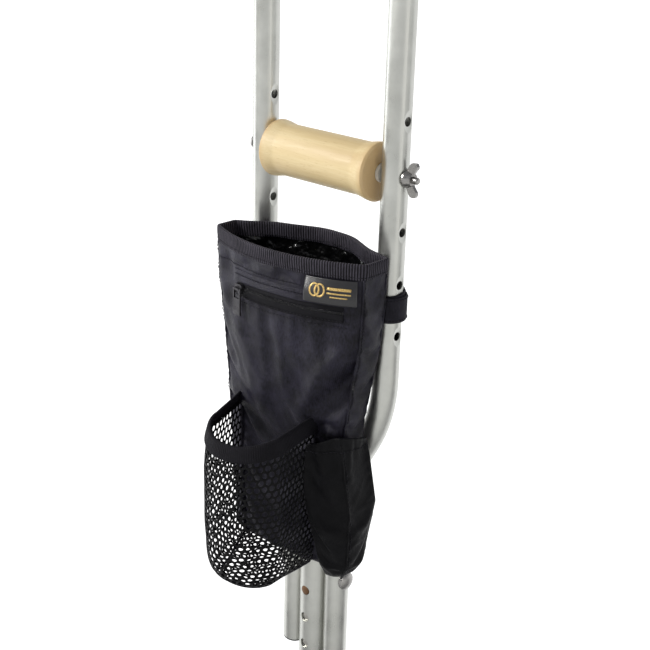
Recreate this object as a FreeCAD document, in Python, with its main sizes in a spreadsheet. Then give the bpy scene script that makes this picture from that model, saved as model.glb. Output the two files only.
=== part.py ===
"""Aluminium underarm crutch with a wooden hand grip and a strapped-on carry pouch.

Frame: millimetres, +Z up along the crutch, origin at the centre of the rubber tip's foot.
+X runs along the hand grip, towards the wing nut.  -Y is the side that the pouch hangs on.
"""
import FreeCAD, Part
import math
import os
import re
import Sketcher
from FreeCAD import Placement, Rotation, Vector

doc = FreeCAD.newDocument("underarm_crutch")
sheet = doc.addObject("Spreadsheet::Sheet", "Size")

# ------------------------------------------------------------------ driving dimensions
DIMENSIONS = {
    # two bent uprights, called bows, of 3/4 inch tube
    "bow_diameter": 19.05, "bow_wall": 1.65, "bow_spacing": 124.4, "bow_top": 1106,
    "bow_foot": 350, "bend_start": 610, "bend_end": 477.4, "bend_radius": 117,
    # grip bolt holes: a column of five in each bow, each in a shallow pressed dimple
    "grip_height": 760, "hole_pitch": 38.1, "hole_diameter": 6.4, "dimple_radius": 24,
    "dimple_depth": 1.2, "holes_above": 1, "hole_count": 5,
    # one inch centre tube between the bows' feet, with its column of adjusting holes
    "centre_diameter": 25.4, "centre_wall": 1.25, "centre_top": 499, "centre_foot": 226,
    "button_height": 408.4, "adjust_pitch": 25.4, "adjust_count": 7, "button_hole": 7.9,
    # 7/8 inch extension tube that slides in the centre tube
    "extension_diameter": 22.2, "extension_wall": 1.25, "extension_top": 421, "tip_floor": 11,
    # snap button and its hairpin spring
    "button_diameter": 7.6, "button_reach": 13.4, "button_root": 2.2, "button_dome": 9,
    "spring_leaf": 0.8, "spring_width": 7, "spring_rise": 6, "spring_drop": 34,
    # cross bolts that hold the bows to the centre tube
    "bolt_high": 468, "bolt_low": 426.1, "cross_diameter": 4.8, "cap_diameter": 14.6,
    "cap_height": 2.6, "saddle_thickness": 1.2, "plug_depth": 10,
    # rubber tip
    "tip_height": 46, "tip_radius": 19.5, "tip_neck_radius": 14.2, "washer_thickness": 1.5,
    # wooden grip on its bolt
    "grip_length": 99.4, "grip_radius": 18.9, "grip_end_radius": 20.8, "grip_bore": 5,
    "grip_collar": 5, "grip_flare": 13, "grip_chamfer": 1.6, "bolt_diameter": 4.8,
    "spacer_diameter": 13.5, "spacer_length": 2.6, "bolt_stickout": 10.8,
    # wing nut
    "nut_base_radius": 6.2, "nut_tip_radius": 4.3, "nut_height": 6, "wing_reach": 12,
    "wing_thickness": 2.6,
    # underarm saddle bar, its rivets and its foam pad
    "saddle_length": 172, "saddle_width": 26, "saddle_height": 20, "saddle_peg": 32,
    "saddle_sag": 6, "dip_radius": 520, "rivet_drop": 16, "rivet_radius": 1.5,
    "pad_length": 200, "pad_width": 44, "pad_height": 44, "pad_overlap": 3, "pad_sag": 9,
    # pouch cloth, zip and straps
    "cloth_wall": 1.6, "binding_height": 10.5, "binding_proud": 0.9, "zip_height": 671,
    "zip_width": 18, "zip_travel": 82, "zip_start": -26, "coil_width": 1.6,
    "strap_height": 20, "strap_middle": 667, "strap_thickness": 2.2, "strap_tail": 34,
    "label_length": 37, "label_height": 17, "label_start": 33,
    # bottle pocket: a round bag on the pouch's front
    "bottle_x": 10, "bottle_y": -81, "bottle_radius": 34.5, "bottle_rim": 579,
    "bottle_floor": 464, "band_height": 10, "mouth_radius": 31.5,
    # where the bottle pocket's straight sides are sewn to the pouch's front
    "root_left": -44, "root_right": 31, "root_y": -30,
    # pen pocket on the pouch's front right corner
    "pen_rim": 577, "pen_hem": 8,
}

# The pouch's cross-section at five heights.  The front and the back are arcs through a middle
# point, and the sides are straight gussets.  All four corners are seams.
POUCH_LEVELS = {
    #         height  left  right  front_left  front_mid  front_right  back_side  back_mid
    "rim":   (706,    -65,  71,    -46,        -60,       -37,         -13.0,     -5),
    "zip":   (671,    -60,  70,    -49,        -58.5,     -36.5,       -13.0,     -8),
    "waist": (645,    -57,  68,    -48,        -55,       -36,         -13.0,     -10),
    "lower": (580,    -54,  56,    -45,        -49,       -34.5,       -13.0,     -12),
    "base":  (461,    -50,  50,    -40,        -42,       -32,         -14.0,     -13),
}
LEVEL_PARTS = ("height", "left", "right", "front_left", "front_mid", "front_right",
               "back_side", "back_mid")

# The pen pocket's corners at four heights: its front left edge, its front right seam and its
# back right edge, each as x and y.
PEN_LEVELS = {
    #        height  edge_x edge_y  seam_x seam_y  side_x side_y
    "mouth": (577,   34,    -58,    60,    -44.5,  60,    -16),
    "belly": (522,   42,    -60,    74,    -47,    72,    -16),
    "heel":  (474,   50,    -52,    70,    -44,    64,    -17),
    "sole":  (460,   50,    -44,    60,    -38,    56,    -19),
}
PEN_PARTS = ("height", "edge_x", "edge_y", "seam_x", "seam_y", "side_x", "side_y")


def fill_sheet():
    """Write every driving dimension into the sheet, one row each, with its alias."""
    table = dict(DIMENSIONS)
    for prefix, levels, parts in (("pouch", POUCH_LEVELS, LEVEL_PARTS),
                                  ("pen", PEN_LEVELS, PEN_PARTS)):
        for level, values in levels.items():
            for part, value in zip(parts, values):
                table[f"{prefix}_{level}_{part}"] = value
    for row, (alias, value) in enumerate(table.items(), start=1):
        sheet.set(f"A{row}", alias)
        sheet.set(f"B{row}", str(value))
        sheet.setAlias(f"B{row}", alias)
    doc.recompute()


def linked(text):
    """Point each sheet alias in an expression at the sheet; every alias has an underscore."""
    return re.sub(r"[a-z]+(?:_[a-z]+)+", lambda word: "Size." + word.group(), text)


def size(text):
    """The value of an expression in sheet aliases, in millimetres or degrees."""
    return float(sheet.evalExpression(linked(text)))


# ------------------------------------------------------------------ modelling helpers
NODES = {}


def keep(obj, label):
    """Make an object a sub-part of the crutch, under its own label."""
    obj.Label = label
    NODES[label] = obj
    return obj


def primitive(kind, name, at=("0", "0", "0"), turn=None, **sizes):
    """A Part primitive whose sizes and place are bound to the sheet."""
    obj = doc.addObject(kind, name)
    if turn:
        obj.Placement = Placement(Vector(), turn)
    for key, text in sizes.items():
        obj.setExpression(key, linked(text))
    for axis, text in zip("xyz", at):
        obj.setExpression(f"Placement.Base.{axis}", linked(text))
    return obj


def joined(name, shapes):
    """Several objects fused into one."""
    obj = doc.addObject("Part::MultiFuse", name)
    obj.Shapes = shapes
    return obj


def pair(kind, name, base, tool):
    """A boolean of two objects: Part::Cut, Part::Fuse or Part::Common."""
    obj = doc.addObject(kind, name)
    obj.Base = base
    obj.Tool = tool
    return obj


def cut(name, base, tool):
    return pair("Part::Cut", name, base, tool)


def feature(label, shape, place=None):
    """A sub-part whose shape is made with Part's own functions."""
    obj = doc.addObject("Part::Feature", label)
    obj.Shape = shape
    obj.Placement = place or Placement()
    return keep(obj, label)


def plane(body, role):
    return next(item for item in body.Origin.OriginFeatures if item.Role == role)


def sketch_on(body, name, role):
    sketch = body.newObject("Sketcher::SketchObject", name)
    sketch.AttachmentSupport = [(plane(body, role), "")]
    sketch.MapMode = "FlatFace"
    return sketch


def outline(body, name, role, corners):
    """A closed outline of straight lines; each corner is a pair of expressions."""
    sketch = sketch_on(body, name, role)
    spots = [Vector(size(across), size(along), 0) for across, along in corners]
    count = len(spots)
    for index in range(count):
        sketch.addGeometry(Part.LineSegment(spots[index], spots[(index + 1) % count]), False)
    for index in range(count):
        sketch.addConstraint(Sketcher.Constraint("Coincident", index, 2, (index + 1) % count, 1))
    for index, pair in enumerate(corners):
        for kind, text in zip(("DistanceX", "DistanceY"), pair):
            constraint = Sketcher.Constraint(kind, -1, 1, index, 1, size(text))
            number = sketch.addConstraint(constraint)
            sketch.setExpression(f"Constraints[{number}]", linked(text))
    return sketch


def rings(body, name, role, centre, radii):
    """Circles about one centre, each with its radius bound to the sheet."""
    sketch = sketch_on(body, name, role)
    spot = Vector(size(centre[0]), size(centre[1]), 0)
    for index, text in enumerate(radii):
        sketch.addGeometry(Part.Circle(spot, Vector(0, 0, 1), size(text)), False)
        number = sketch.addConstraint(Sketcher.Constraint("Radius", index, size(text)))
        sketch.setExpression(f"Constraints[{number}]", linked(text))
        for kind, where in zip(("DistanceX", "DistanceY"), centre):
            number = sketch.addConstraint(
                Sketcher.Constraint(kind, -1, 1, index, 3, size(where)))
            sketch.setExpression(f"Constraints[{number}]", linked(where))
    return sketch


def turned(label, role, axis, corners):
    """A round sub-part: its half outline revolved about a sketch axis."""
    body = doc.addObject("PartDesign::Body", label)
    profile = outline(body, label + "_profile", role, corners)
    revolution = body.newObject("PartDesign::Revolution", label + "_turned")
    revolution.Profile = profile
    revolution.ReferenceAxis = (profile, [axis])
    revolution.Angle = 360
    doc.recompute()
    return body


def round_edges(body, name, radius, wanted):
    """Fillet the circular edges of a body's tip that a test picks."""
    tip = body.Tip
    names = [f"Edge{number}" for number, edge in enumerate(tip.Shape.Edges, start=1)
             if wanted(edge)]
    fillet = body.newObject("PartDesign::Fillet", f"{body.Name}_{name}_rounding")
    fillet.Base = (tip, names)
    fillet.setExpression("Radius", linked(radius))
    doc.recompute()


ALONG_X = Rotation(Vector(0, 1, 0), 90)
ALONG_FRONT = Rotation(Vector(1, 0, 0), 90)


# ------------------------------------------------------------------ tubes
def bow_body(label, side):
    """One bow: straight beside the grip, bent in below it, then straight at the foot."""
    body = doc.addObject("PartDesign::Body", label + "_tube")
    half = f"{side} * bow_spacing / 2"
    foot = f"{side} * (bow_diameter + centre_diameter) / 2"
    # two equal arcs with a slanted run between them: their common angle of bend
    radius, high, low = size("bend_radius"), size("bend_start"), size("bend_end")
    inward = size("bow_spacing") / 2 - size("(bow_diameter + centre_diameter) / 2")
    spare = 2 * radius - inward
    angle = (math.asin(2 * radius / math.hypot(high - low, spare))
             - math.atan2(spare, high - low))
    first = high - radius * math.sin(angle)
    second = low + radius * math.sin(angle)
    out, near = size(half), size(foot)
    shoulder = out - side * radius * (1 - math.cos(angle))
    hip = near + side * radius * (1 - math.cos(angle))

    spine = sketch_on(body, label + "_path", "XZ_Plane")
    half_turn = angle / 2
    upper_mid = Vector(out - side * radius * (1 - math.cos(half_turn)),
                       high - radius * math.sin(half_turn), 0)
    lower_mid = Vector(near + side * radius * (1 - math.cos(half_turn)),
                       low + radius * math.sin(half_turn), 0)
    top, bend_a = Vector(out, size("bow_top"), 0), Vector(out, high, 0)
    bend_b, bend_c = Vector(shoulder, first, 0), Vector(hip, second, 0)
    bend_d, bottom = Vector(near, low, 0), Vector(near, size("bow_foot"), 0)
    pieces = [Part.LineSegment(top, bend_a), turning_left(bend_a, upper_mid, bend_b),
              Part.LineSegment(bend_b, bend_c), turning_left(bend_c, lower_mid, bend_d),
              Part.LineSegment(bend_d, bottom)]
    for piece in pieces:
        spine.addGeometry(piece, False)
    ends = end_points(spine)
    for index in range(len(pieces) - 1):
        spine.addConstraint(Sketcher.Constraint(
            "Tangent", index, ends[index][1], index + 1, ends[index + 1][0]))
    spine.addConstraint(Sketcher.Constraint("Vertical", 0))
    spine.addConstraint(Sketcher.Constraint("Vertical", 4))
    sizes = (("DistanceX", (-1, 1, 0, 1), half), ("DistanceY", (-1, 1, 0, 1), "bow_top"),
             ("DistanceY", (-1, 1, 0, 2), "bend_start"), ("DistanceX", (-1, 1, 4, 2), foot),
             ("DistanceY", (-1, 1, 4, 2), "bow_foot"), ("DistanceY", (-1, 1, 4, 1), "bend_end"),
             ("Radius", (1,), "bend_radius"), ("Radius", (3,), "bend_radius"))
    for kind, where, text in sizes:
        number = spine.addConstraint(Sketcher.Constraint(kind, *where, size(text)))
        spine.setExpression(f"Constraints[{number}]", linked(text))
    section = rings(body, label + "_section", "XY_Plane", (half, "0"),
                    ("bow_diameter / 2", "bow_diameter / 2 - bow_wall"))
    section.AttachmentOffset = Placement(Vector(0, 0, size("bow_top")), Rotation())
    section.setExpression("AttachmentOffset.Base.z", linked("bow_top"))
    pipe = body.newObject("PartDesign::AdditivePipe", label + "_pipe")
    pipe.Profile = section
    pipe.Spine = spine
    doc.recompute()
    return body


def turning_left(start, middle, stop):
    """An arc through three points, counter-clockwise, which is how a sketch holds it."""
    if (middle - start).cross(stop - middle).z < 0:
        start, stop = stop, start
    return Part.Arc(start, middle, stop)


def end_points(sketch):
    """For a chain of lines and arcs, the point number of each piece's first and last end."""
    ends = []
    last = None
    for piece in sketch.Geometry:
        start, stop = piece.StartPoint, piece.EndPoint
        forward = last is None or (start - last).Length < (stop - last).Length
        ends.append((1, 2) if forward else (2, 1))
        last = stop if forward else start
    return ends


def bow(label, side):
    """A bow with its grip holes, their dimples, and the cross bolt holes."""
    tools = []
    x = f"{side} * bow_spacing / 2"
    face = "bow_diameter / 2 + dimple_radius - dimple_depth"
    for index in range(int(size("hole_count"))):
        z = f"grip_height + (holes_above - {index}) * hole_pitch"
        tools.append(primitive("Part::Cylinder", f"{label}_hole_{index}", turn=ALONG_X,
                               at=(f"{x} - bow_diameter", "0", z),
                               Radius="hole_diameter / 2", Height="2 * bow_diameter"))
        for sign in (-1, 1):
            tools.append(primitive("Part::Sphere", f"{label}_dimple_{index}_{sign + 1}",
                                   at=(f"{x} + {sign} * ({face})", "0", z),
                                   Radius="dimple_radius"))
    foot = f"{side} * (bow_diameter + centre_diameter) / 2"
    for name, z in (("high", "bolt_high"), ("low", "bolt_low")):
        tools.append(primitive("Part::Cylinder", f"{label}_cross_{name}", turn=ALONG_X,
                               at=(f"{foot} - bow_diameter", "0", z),
                               Radius="cross_diameter / 2", Height="2 * bow_diameter"))
    holes = joined(label + "_holes", tools)
    return keep(cut(label + "_cut", bow_body(label, side), holes), label)


def tube(name, outer, wall, low, high):
    """A straight round tube on the crutch's axis."""
    body = doc.addObject("PartDesign::Body", name)
    section = rings(body, name + "_section", "XY_Plane", ("0", "0"),
                    (f"{outer} / 2", f"{outer} / 2 - {wall}"))
    section.AttachmentOffset = Placement(Vector(0, 0, size(low)), Rotation())
    section.setExpression("AttachmentOffset.Base.z", linked(low))
    pad = body.newObject("PartDesign::Pad", name + "_pad")
    pad.Profile = section
    pad.setExpression("Length", linked(f"({high}) - ({low})"))
    doc.recompute()
    return body


def centre_tube():
    """The centre tube, with its front column of adjusting holes and its cross bolt holes."""
    tools = [primitive("Part::Cylinder", f"adjust_hole_{index}", turn=ALONG_FRONT,
                       at=("0", "0", f"button_height - {index} * adjust_pitch"),
                       Radius="button_hole / 2 + 0.1", Height="centre_diameter")
             for index in range(int(size("adjust_count")))]
    for name, z in (("high", "bolt_high"), ("low", "bolt_low")):
        tools.append(primitive("Part::Cylinder", f"centre_cross_{name}", turn=ALONG_X,
                               at=("-centre_diameter", "0", z),
                               Radius="cross_diameter / 2", Height="2 * centre_diameter"))
    body = tube("centre_blank", "centre_diameter", "centre_wall", "centre_foot", "centre_top")
    holes = joined("centre_holes", tools)
    keep(cut("centre_cut", body, holes), "centre_tube")


def extension_tube():
    """The sliding extension tube, with one hole for the snap button."""
    body = tube("extension_blank", "extension_diameter", "extension_wall",
                "tip_floor + washer_thickness", "extension_top")
    hole = primitive("Part::Cylinder", "button_hole_tool", turn=ALONG_FRONT,
                     at=("0", "0", "button_height"),
                     Radius="button_diameter / 2 + 0.15", Height="extension_diameter")
    keep(cut("extension_cut", body, hole), "extension_tube")


def snap_button():
    """The snap button: a domed stud on a wider shoulder that stops inside the extension."""
    seat = "(extension_diameter / 2 - extension_wall - button_root)"
    stud = primitive("Part::Cylinder", "button_stud", turn=ALONG_FRONT,
                     at=("0", f"-{seat}", "button_height"),
                     Radius="button_diameter / 2", Height=f"button_reach - {seat}")
    dome = primitive("Part::Sphere", "button_dome",
                     at=("0", "-button_reach + button_dome", "button_height"),
                     Radius="button_dome")
    shoulder = primitive("Part::Cylinder", "button_shoulder", turn=ALONG_FRONT,
                         at=("0", f"-{seat}", "button_height"),
                         Radius="button_diameter / 2 + 0.8", Height="0.9")
    blank = pair("Part::Fuse", "button_blank", stud, shoulder)
    keep(pair("Part::Common", "button_domed", blank, dome), "snap_button")


def snap_spring():
    """The hairpin spring behind the button: two leaves and a round bend below them."""
    bore = size("extension_diameter / 2 - extension_wall")
    leaf, width = size("spring_leaf"), size("spring_width")
    top = size("button_height + spring_rise")
    # the front leaf bears on the button's root; the back leaf stands off the tube
    front, back = -bore + size("button_root") + 0.05, bore - 4.2
    middle, radius = (front + back) / 2, (back - front) / 2
    bend_z = top - size("spring_drop")

    def hairpin(inset):
        y_front, y_back = front + inset, back - inset
        foot = Vector(0, middle, bend_z - radius + inset)
        return [Part.LineSegment(Vector(0, y_front, top), Vector(0, y_front, bend_z)).toShape(),
                Part.Arc(Vector(0, y_front, bend_z), foot, Vector(0, y_back, bend_z)).toShape(),
                Part.LineSegment(Vector(0, y_back, bend_z), Vector(0, y_back, top)).toShape()]

    outer, inner = hairpin(0), hairpin(leaf)
    caps = [Part.LineSegment(Vector(0, back, top), Vector(0, back - leaf, top)).toShape(),
            Part.LineSegment(Vector(0, front + leaf, top), Vector(0, front, top)).toShape()]
    wire = Part.Wire(Part.__sortEdges__(outer + caps + inner))
    face = Part.Face(wire)
    face.translate(Vector(-width / 2, 0, 0))
    feature("snap_spring", face.extrude(Vector(width, 0, 0)))


# ------------------------------------------------------------------ fasteners
def cross_bolt(name, z):
    """A cross bolt through both bows and the centre tube, and its low domed nut.

    Its two saddle washers are returned, because all four washers are one sub-part.
    """
    seat = size("centre_diameter / 2 + bow_diameter")
    cap_radius, cap_height = size("cap_diameter / 2"), size("cap_height")
    saddle = size("saddle_thickness")
    rod = size("cross_diameter / 2")
    half = seat + saddle
    axis, height = Vector(1, 0, 0), size(z)
    dome_radius = (cap_radius ** 2 + cap_height ** 2) / (2 * cap_height)
    bulge = math.asin(cap_radius / dome_radius) / 2

    def revolved(side, shank):
        """A low domed cap on one side, with or without the shank, turned about the bolt's axis."""
        base, centre = side * half, side * (half + cap_height - dome_radius)
        rim, pole = Vector(base, 0, cap_radius), Vector(side * (half + cap_height), 0, 0)
        middle = Vector(centre + side * dome_radius * math.cos(bulge), 0,
                        dome_radius * math.sin(bulge))
        spots = [pole, Vector(-base, 0, 0), Vector(-base, 0, rod), Vector(base, 0, rod), rim]
        if not shank:
            spots = [pole, Vector(base, 0, 0), rim]
        edges = [Part.LineSegment(one, two).toShape() for one, two in zip(spots, spots[1:])]
        edges.append(Part.Arc(rim, middle, pole).toShape())
        face = Part.Face(Part.Wire(edges))
        face.translate(Vector(0, 0, height))
        return face.revolve(Vector(0, 0, height), axis, 360)

    feature(f"{name}_cross_bolt", revolved(1, True))
    feature(f"{name}_cross_nut", revolved(-1, False))
    # saddle washers: flat outside for the cap, hollow inside to seat on the round tube
    washers = []
    wrap = 1.6
    for side in (-1, 1):
        disc = Part.makeCylinder(cap_radius - 0.4, wrap + saddle,
                                 Vector(side * (seat - wrap), 0, height), Vector(side, 0, 0))
        bow_round = Part.makeCylinder(
            size("bow_diameter / 2"), 4 * cap_radius,
            Vector(side * size("(bow_diameter + centre_diameter) / 2"), 0,
                   height - 2 * cap_radius))
        hole = Part.makeCylinder(rod, 2 * half, Vector(-half, 0, height), axis)
        washers.append(disc.cut(bow_round).cut(hole))
    return washers


def grip_fasteners():
    """The long grip bolt and the two spacers beside the grip."""
    rod = "bolt_diameter / 2"
    outer = "bow_spacing / 2 + bow_diameter / 2"
    head = f"-({outer})"
    body = turned("grip_bolt", "XZ_Plane", "H_Axis", (
        (f"{head} - 3.2", "0"), (f"{head} - 3.2", "3"), (f"{head} - 2.2", "4.6"),
        (head, "5.2"), (head, rod), (f"{outer} + bolt_stickout - 0.8", rod),
        (f"{outer} + bolt_stickout", f"{rod} - 0.8"), (f"{outer} + bolt_stickout", "0")))
    lift(body)
    keep(body, "grip_bolt")
    inner = "bow_spacing / 2 - bow_diameter / 2"
    for name, side in (("left", -1), ("right", 1)):
        ends = sorted((f"{side} * ({inner})", f"{side} * ({inner} - spacer_length)"), key=size)
        spacer = turned(f"{name}_grip_spacer", "XZ_Plane", "H_Axis", (
            (ends[0], f"{rod} + 0.05"), (ends[0], "spacer_diameter / 2"),
            (ends[1], "spacer_diameter / 2"), (ends[1], f"{rod} + 0.05")))
        lift(spacer)
        keep(spacer, f"{name}_grip_spacer")


def lift(body):
    """Raise a body that was sketched about the grip's axis to the grip's height."""
    body.setExpression("Placement.Base.z", linked("grip_height"))


def hand_grip():
    """The turned wooden grip: a straight barrel that flares to a collar at each end."""
    half, bore = "grip_length / 2", "grip_bore / 2"
    collar, edge_radius = "grip_end_radius - 0.3", "grip_end_radius - grip_chamfer"
    body = turned("hand_grip", "XZ_Plane", "H_Axis", (
        (f"-{half}", bore), (f"-{half}", edge_radius),
        (f"-{half} + grip_chamfer", "grip_end_radius"), (f"-{half} + grip_collar", collar),
        (f"-{half} + grip_flare", "grip_radius"), (f"{half} - grip_flare", "grip_radius"),
        (f"{half} - grip_collar", collar), (f"{half} - grip_chamfer", "grip_end_radius"),
        (half, edge_radius), (half, bore)))
    reach, flare = size(half), size("grip_flare")
    round_edges(body, "flare", "grip_end_radius * 0.6",
                lambda edge: abs(abs(edge.CenterOfMass.x) - (reach - flare)) < 0.1)
    round_edges(body, "ends", "grip_chamfer * 0.55",
                lambda edge: (abs(edge.CenterOfMass.x) > reach - flare + 1
                              and edge.BoundBox.ZLength > size("grip_radius")))
    lift(body)
    keep(body, "hand_grip")


def wing_nut():
    """The wing nut: a tapered hub, two flat wings with round tips, and its bore."""
    base = "bow_spacing / 2 + bow_diameter / 2 + 0.3"
    body = turned("wing_nut", "XZ_Plane", "H_Axis", (
        (base, "bolt_diameter / 2 + 0.06"), (base, "nut_base_radius"),
        (f"{base} + 1.2", "nut_base_radius"), (f"{base} + nut_height", "nut_tip_radius"),
        (f"{base} + nut_height", "bolt_diameter / 2 + 0.06")))
    for index, side in enumerate((1, -1)):
        wing = outline(body, f"wing_outline_{index}", "XZ_Plane", (
            (f"{base} + 1", f"{side} * (nut_tip_radius - 0.8)"),
            (f"{base} + 1", f"{side} * (nut_base_radius - 0.4)"),
            (f"{base} + 2.8", f"{side} * (wing_reach - 2.6)"),
            (f"{base} + 4.4", f"{side} * (wing_reach - 0.6)"),
            (f"{base} + 6.4", f"{side} * wing_reach"),
            (f"{base} + 8.6", f"{side} * (wing_reach - 0.4)"),
            (f"{base} + 9.8", f"{side} * (wing_reach - 2.2)"),
            (f"{base} + 9.6", f"{side} * (wing_reach - 4)"),
            (f"{base} + 8.2", f"{side} * (nut_base_radius + 0.2)"),
            (f"{base} + nut_height", f"{side} * (nut_tip_radius - 0.8)")))
        pad = body.newObject("PartDesign::Pad", f"wing_{index}")
        pad.Profile = wing
        pad.Midplane = True
        pad.setExpression("Length", linked("wing_thickness"))
        doc.recompute()
    lift(body)
    keep(body, "wing_nut")


# ------------------------------------------------------------------ tip and underarm saddle
def rubber_tip():
    """The rubber tip, with a grooved foot and a beaded neck, and the steel washer in its bore."""
    bore, foot = "extension_diameter / 2", "tip_radius"
    body = turned("rubber_tip", "XZ_Plane", "V_Axis", (
        ("0", "0"), ("8", "0"), ("8", "1.5"), ("10", "1.5"), ("10", "0"), ("14", "0"),
        ("14", "1.5"), ("16", "1.5"), ("16", "0"), (f"{foot} - 0.8", "0"), (foot, "1"),
        (foot, "7"), (f"{foot} - 4.2", "15"), ("tip_neck_radius + 0.2", "20"),
        ("tip_neck_radius", "tip_height - 4"), ("tip_neck_radius + 0.9", "tip_height - 3"),
        ("tip_neck_radius + 0.9", "tip_height - 0.6"), ("tip_neck_radius + 0.3", "tip_height"),
        (bore, "tip_height"), (bore, "tip_floor"), ("0", "tip_floor")))
    keep(body, "rubber_tip")
    washer = primitive("Part::Cylinder", "tip_washer_disc", at=("0", "0", "tip_floor"),
                       Radius=f"{bore} - 0.1", Height="washer_thickness")
    keep(washer, "tip_washer")


def centre_plug():
    """The plastic plug that closes the top of the centre tube."""
    inner = "centre_diameter / 2 - centre_wall"
    body = turned("centre_tube_plug", "XZ_Plane", "V_Axis", (
        ("0", "centre_top - plug_depth"), (inner, "centre_top - plug_depth"),
        (inner, "centre_top"),
        ("centre_diameter / 2", "centre_top"), ("centre_diameter / 2 - 0.6", "centre_top + 1.8"),
        ("0", "centre_top + 2.6")))
    keep(body, "centre_tube_plug")


def bow_plugs():
    """The plastic plugs in the open feet of the bows."""
    for name, side in (("left", -1), ("right", 1)):
        inner = "bow_diameter / 2 - bow_wall"
        body = turned(f"{name}_bow_plug", "XZ_Plane", "V_Axis", (
            ("0", "bow_foot - 2"), ("bow_diameter / 2 - 1", "bow_foot - 2"),
            ("bow_diameter / 2", "bow_foot - 1"), ("bow_diameter / 2", "bow_foot"),
            (inner, "bow_foot"), (inner, "bow_foot + plug_depth"),
            ("0", "bow_foot + plug_depth")))
        body.setExpression("Placement.Base.x",
                           linked(f"{side} * (bow_diameter + centre_diameter) / 2"))
        keep(body, f"{name}_bow_plug")


def underarm():
    """The saddle bar on the bows' tops, its rivets, and the foam pad that covers it."""
    bar = primitive("Part::Box", "saddle_block",
                    at=("-saddle_length / 2", "-saddle_width / 2", "bow_top"),
                    Length="saddle_length", Width="saddle_width", Height="saddle_height")
    dip = primitive("Part::Cylinder", "saddle_dip", turn=Rotation(Vector(1, 0, 0), -90),
                    at=("0", "-pad_width",
                       "bow_top + saddle_height - saddle_sag + dip_radius"),
                    Radius="dip_radius", Height="2 * pad_width")
    pegs = [primitive("Part::Cylinder", f"saddle_peg_{index}",
                      at=(f"{side} * bow_spacing / 2", "0", "bow_top - saddle_peg"),
                      Radius="bow_diameter / 2 - bow_wall", Height="saddle_peg + 1")
            for index, side in enumerate((-1, 1))]
    blank = joined("saddle_blank", [cut("saddle_hollow", bar, dip)] + pegs)
    holes = [primitive("Part::Cylinder", f"saddle_rivet_hole_{index}", turn=ALONG_FRONT,
                       at=(f"{side} * bow_spacing / 2", "saddle_width", "bow_top - rivet_drop"),
                       Radius="rivet_radius", Height="2 * saddle_width")
             for index, side in enumerate((-1, 1))]
    drill = joined("saddle_drill", holes)
    keep(cut("saddle_cut", blank, drill), "underarm_saddle")
    for label in ("left_bow", "right_bow"):
        drilled = cut(label + "_drilled", NODES[label], drill)
        NODES[label].Label = label + "_undrilled"
        keep(drilled, label)
    feature("saddle_rivets", Part.makeCompound([rivet(side) for side in (-1, 1)]))

    block = primitive("Part::Box", "pad_block",
                      at=("-pad_length / 2", "-pad_width / 2", "bow_top - pad_overlap"),
                      Length="pad_length", Width="pad_width", Height="pad_height")
    doc.recompute()
    rounded = doc.addObject("Part::Fillet", "pad_rounded")
    rounded.Base = block
    long_round, corner_round = 12, 16
    edges = []
    for number, edge in enumerate(block.Shape.Edges, start=1):
        along = edge.tangentAt(edge.FirstParameter)
        if abs(along.x) > 0.9:
            edges.append((number, long_round, long_round))
        elif abs(along.z) > 0.9:
            edges.append((number, corner_round, corner_round))
    rounded.Edges = edges
    top_dip = primitive("Part::Cylinder", "pad_dip", turn=Rotation(Vector(1, 0, 0), -90),
                        at=("0", "-pad_width",
                            "bow_top - pad_overlap + pad_height - pad_sag + dip_radius"),
                        Radius="dip_radius", Height="2 * pad_width")
    hollow = cut("pad_hollow", cut("pad_shaped", rounded, top_dip), NODES["underarm_saddle"])
    mouths = [primitive("Part::Cylinder", f"pad_tube_mouth_{index}",
                        at=(f"{side} * bow_spacing / 2", "0", "bow_top - 10"),
                        Radius="bow_diameter / 2 + 0.3", Height="10")
              for index, side in enumerate((-1, 1))]
    keep(cut("pad_cut", hollow, joined("pad_mouths", mouths)), "underarm_pad")


def rivet(side):
    """A rivet through a bow and the saddle's peg, with a head seated on the tube each way."""
    seat, radius = size("bow_diameter / 2"), size("rivet_radius")
    x, z = side * size("bow_spacing / 2"), size("bow_top - rivet_drop")
    head_radius, head_height, sunk = 3.4, 1.6, 0.7
    along = Vector(0, 1, 0)
    shank = Part.makeCylinder(radius, 2 * seat, Vector(x, -seat, z), along)
    heads = [Part.makeCylinder(head_radius, head_height + sunk, Vector(x, y, z), along)
             for y in (-seat - head_height, seat - sunk)]
    tube_round = Part.makeCylinder(seat, 2 * seat, Vector(x, 0, z - seat))
    return shank.fuse([head.cut(tube_round) for head in heads]).removeSplitter()


# ------------------------------------------------------------------ pouch
def level_at(height):
    """The pouch's outline values at a height, between its stated levels."""
    rows = [[size(f"pouch_{name}_{part}") for part in LEVEL_PARTS] for name in POUCH_LEVELS]
    for above, below in zip(rows, rows[1:]):
        if height >= below[0]:
            share = (height - below[0]) / (above[0] - below[0])
            break
    return [low + share * (high - low) for low, high in zip(below, above)]


def corners_at(height, inset=0.0):
    """The outline's four corners and two middles, moved inward by inset."""
    _, left, right, f_left, f_mid, f_right, b_side, b_mid = level_at(height)
    left, right = left + inset, right - inset
    f_left, f_mid, f_right = f_left + inset, f_mid + inset, f_right + inset
    b_side, b_mid = b_side - inset, b_mid - inset
    middle = (left + right) / 2
    return {"front_left": Vector(left, f_left, height),
            "front_right": Vector(right, f_right, height),
            "back_right": Vector(right, b_side, height),
            "back_left": Vector(left, b_side, height),
            "front_mid": Vector(middle, f_mid, height),
            "back_mid": Vector(middle, b_mid, height)}


def edge_between(spots, start, stop):
    """One side of the outline: an arc at the front and the back, a line at the gussets."""
    if start.split("_")[0] == stop.split("_")[0]:
        middle = spots[start.split("_")[0] + "_mid"]
        return Part.Arc(spots[start], middle, spots[stop]).toShape()
    return Part.LineSegment(spots[start], spots[stop]).toShape()


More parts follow.
